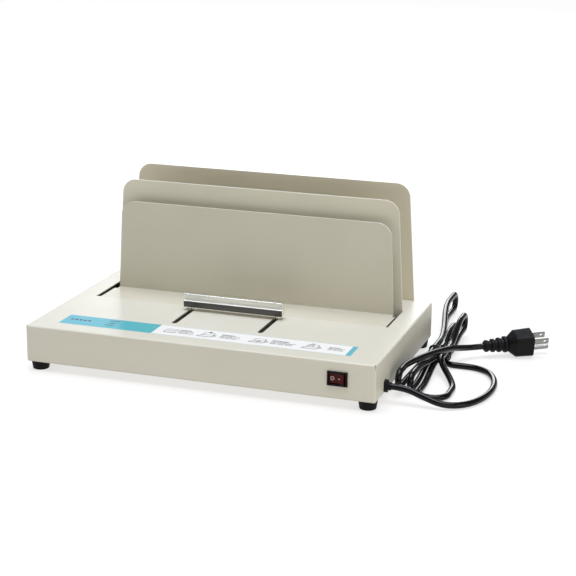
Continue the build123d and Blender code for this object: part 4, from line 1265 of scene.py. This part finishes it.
@dataclass
class PowerSwitch:
    """Rocker switch with a ring and a dash as its two marks."""

    pivot: tuple[float, float] = (151.0, -112.9)
    height: float = 31.0
    tilt: float = -10.0
    tip: tuple[float, float] = (7.6, 4.6)
    dip: float = 3.2
    ring_place: float = 0.62
    dash_place: float = 0.34
    ring_radius: float = 1.9
    line_width: float = 0.55
    dash_length: float = 2.4
    raised: float = 0.03
    ring_steps: int = 36
    rolled_edge: float = 0.5 * MM
    edge_segments: int = 3

    def build(self) -> None:
        """Dress the switch and print its marks on the rocker."""
        dress(SWITCH_PLASTIC, "switch_body")
        dress(LAMP_GLASS, "switch_lamp")
        rocker = softened("rocker", self.rolled_edge, self.edge_segments)
        attach(rocker, ROCKER_PLASTIC, Body.ROCKER, "rocker_red", "rocker")
        self.build_marks()

    def on_face(self, side: int, along: Points, up: Points, out: Points) -> Points:
        """Places on one half of the rocker.

        Args:
            side: -1 for the left half and 1 for the right half.
            along: Distance from the middle line along the face, in millimetres.
            up: Height above the middle, in millimetres.
            out: Distance off the face, in millimetres.

        Returns:
            Places in metres: the face runs straight from the middle dip to the half's tip, and the
            whole rocker is turned about its pivot by the rest tilt.
        """
        run = unit(np.array([side * self.tip[0], -(self.tip[1] - self.dip)]))
        normal = np.array([-run[1], run[0]]) * -side
        x = run[0] * along + normal[0] * out
        y = -self.dip + run[1] * along + normal[1] * out
        turn = radians(self.tilt)
        return np.stack([self.pivot[0] + cos(turn) * x - sin(turn) * y,
                         self.pivot[1] + sin(turn) * x + cos(turn) * y,
                         self.height + up + 0 * x], axis=-1) * MM

    def build_marks(self) -> None:
        """Print the ring on the left half and the dash on the right half."""
        angle = np.linspace(0, 2 * pi, self.ring_steps, endpoint=False)[:, None]
        section = np.array([[0, -self.raised], [0, self.raised], [1, self.raised], [1, -self.raised]])
        radius = self.ring_radius - section[None, :, 0] * self.line_width
        middle = self.ring_place * self.tip[0]
        ring = self.on_face(-1, middle + radius * np.cos(angle), radius * np.sin(angle),
                            section[None, :, 1] + 0 * angle)
        faces = grid_faces(self.ring_steps, len(section), True)
        dash_middle = self.dash_place * self.tip[0]
        low = np.array([[dash_middle - self.dash_length / 2, -self.line_width / 2, -self.raised]])
        corners = box_points(low, low + [self.dash_length, self.line_width, 2 * self.raised])[0]
        dash = self.on_face(1, corners[:, 0], corners[:, 1], corners[:, 2])
        points = np.concatenate([ring.reshape(-1, 3), dash])
        index = faces.tolist() + (BOX_FACES + self.ring_steps * len(section)).tolist()
        marks = mesh_object("rocker_marks", points, index, smooth=False)
        close_up(marks)
        attach(marks, MARK_PAINT, Body.ROCKER, "rocker_red")


# ------------------------------------------------------------------ label
@dataclass
class InstructionLabel:
    """Printed film on the casing's top with plain bars and simple step drawings."""

    print_height: float = 0.02
    bar_height: float = 1.0
    head_height: float = 1.5
    bar_pitch: float = 2.5
    text_blocks: tuple = ((-31.0, 5, 19.0), (15.0, 5, 23.0), (69.5, 5, 29.0), (130.5, 4, 19.0))
    drawings: tuple = ((-47.0, Step.SHEETS), (-9.0, Step.INSERT), (47.0, Step.SLIDE), (104.0, Step.STAND))
    head_share: float = 0.62
    row_shares: tuple = (0.92, 0.78, 0.86, 0.6)
    word_spans: tuple = ((0.0, 0.28), (0.33, 0.62), (0.67, 1.0))
    panel_pitch: float = 0.2
    panel_word: float = 0.14
    stroke_lift: float = 0.004
    panel_rows: tuple = ((-155.5, -79.5, 25.0, 3.6), (-112.5, -72.5, 11.0, 2.4), (-111.5, -79.5, 7.5, 2.4),
                         (-113.0, -86.5, 9.5, 2.4))

    def build(self) -> None:
        """Dress the film and print on it."""
        low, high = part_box("instruction_label")
        film = PrintedFilm("Printed label film", low.x, high.x, low.y, high.y)
        dress(film, "instruction_label")
        base = high.z / MM
        middle = (low.y + high.y) / 2 / MM
        self.print_slabs("label_text_bars", self.text_bars(middle), base, PRINT_GREY)
        strokes = [(np.array(points) + [left, middle], width)
                   for left, step in self.drawings for points, width in self.drawing(step)]
        self.print_strokes("label_drawings", strokes, base)

    def text_bars(self, middle: float) -> Points:
        """Rectangles that stand for lines of print.

        Args:
            middle: The film's middle along Y, in millimetres.

        Returns:
            Low x, low y, high x and high y of each, in millimetres.
        """
        bars = []
        for left, rows, width in self.text_blocks:
            top = middle + (rows - 1) * self.bar_pitch / 2
            bars.append((left, top - self.head_height / 2,
                         left + self.head_share * width, top + self.head_height / 2))
        for block, (left, rows, width) in enumerate(self.text_blocks):
            for row in range(1, rows):
                top = middle + (rows - 1) * self.bar_pitch / 2 - row * self.bar_pitch
                share = self.row_shares[(row + block) % len(self.row_shares)]
                for start, end in self.word_spans:
                    bars.append((left + start * share * width, top - self.bar_height / 2,
                                 left + end * share * width, top + self.bar_height / 2))
        for left, y, width, height in self.panel_rows:
            for start in np.arange(0, 1, self.panel_pitch):
                bars.append((left + start * width, y - height / 2,
                             left + (start + self.panel_word) * width, y + height / 2))
        return np.array(bars)

    @staticmethod
    def drawing(step: Step) -> list[tuple[list[tuple[float, float]], float]]:
        """The lines of one step drawing, about 20 mm wide.

        Args:
            step: The step.

        Returns:
            Polylines, each with a line width, in millimetres.
        """
        casing = [(0, -7), (14, -7), (19, -2), (19, 0), (5, 0), (0, -5), (0, -7)]
        edge = [(0, -5), (14, -5), (19, 0)]
        sheets = [([(0, -5), (12, -5), (14, 5), (2, 5), (0, -5)], 0.7),
                  ([(1.2, -6.4), (13.2, -6.4), (13.8, -4.6)], 0.5), ([(3.6, 1.5), (11.4, 1.5)], 0.6),
                  ([(3.0, -1.5), (10.6, -1.5)], 0.6)]
        plates = [([(4, -2), (4.6, 6), (15.6, 6), (16.2, -2)], 0.7)]
        arrow_down = [([(10, 10), (10, 6.5)], 1.1), ([(8.4, 8.4), (10, 6.1), (11.6, 8.4)], 1.1)]
        arrow_back = [([(7, -5), (11, -0.5)], 1.1), ([(8.4, -0.5), (11.2, -0.3), (11.3, -3.0)], 1.1)]
        book = [([(6.5, -0.5), (7.2, 9), (9.4, 9), (9.8, -0.5)], 0.8)]
        machine = [(casing, 0.7), (edge, 0.5)]
        return {Step.SHEETS: sheets, Step.INSERT: machine + plates + arrow_down,
                Step.SLIDE: machine + plates + arrow_back, Step.STAND: machine + plates + book}[step]

    def print_slabs(self, name: str, spans: Points, base: float, finish: Finish) -> None:
        """Print rectangles as thin slabs that stand on the film.

        Args:
            name: The piece's name.
            spans: Low x, low y, high x and high y of each, in millimetres.
            base: The film's top, in millimetres.
            finish: The ink.
        """
        low = np.c_[spans[:, :2], np.full(len(spans), base)]
        high = np.c_[spans[:, 2:], np.full(len(spans), base + self.print_height)]
        self.print_boxes(name, box_points(low, high), finish)

    @staticmethod
    def print_boxes(name: str, points: Points, finish: Finish) -> None:
        """Put boxes on the film as one printed piece.

        Args:
            name: The piece's name.
            points: Eight corners of each box, in millimetres.
            finish: The ink.
        """
        index = (BOX_FACES[None] + 8 * np.arange(len(points))[:, None, None]).reshape(-1, 4)
        piece = mesh_object(name, points * MM, index.tolist(), smooth=False)
        close_up(piece)
        attach(piece, finish, Body.BASE, "label_film")

    def print_strokes(self, name: str, strokes: list[tuple[Points, float]], base: float) -> None:
        """Print polylines as thin flat bars: each run widened by half its line either side.

        Args:
            name: The piece's name.
            strokes: Polylines, each with a line width, in millimetres.
            base: The film's top, in millimetres.
        """
        starts = np.concatenate([line[:-1] for line, _ in strokes])
        ends = np.concatenate([line[1:] for line, _ in strokes])
        half = np.concatenate([np.full(len(line) - 1, width / 2) for line, width in strokes])[:, None]
        along = unit(ends - starts)
        side = np.c_[-along[:, 1], along[:, 0]] * half
        flat = np.stack([starts - along * half - side, ends + along * half - side,
                         starts - along * half + side, ends + along * half + side], axis=1)
        lift = self.stroke_lift * np.arange(len(flat))[:, None, None] / len(flat)
        low = np.concatenate([flat, np.full((len(flat), 4, 1), base)], axis=2)
        high = np.concatenate([flat, base + self.print_height + lift + np.zeros((len(flat), 4, 1))], axis=2)
        self.print_boxes(name, np.concatenate([low, high], axis=1), PRINT_DARK)


def main() -> None:
    """Build every sub-assembly in order."""
    logging.basicConfig(level=logging.INFO, format="%(name)s %(message)s")
    for assembly in (Studio(), MainsCord(), Casing(), UprightPlates(), SlidingClamp(), HotPlate(), Wiring(),
                     PowerSwitch(), InstructionLabel()):
        assembly.build()
        log.info("%s done", type(assembly).__name__)


if __name__ == "__main__":
    main()
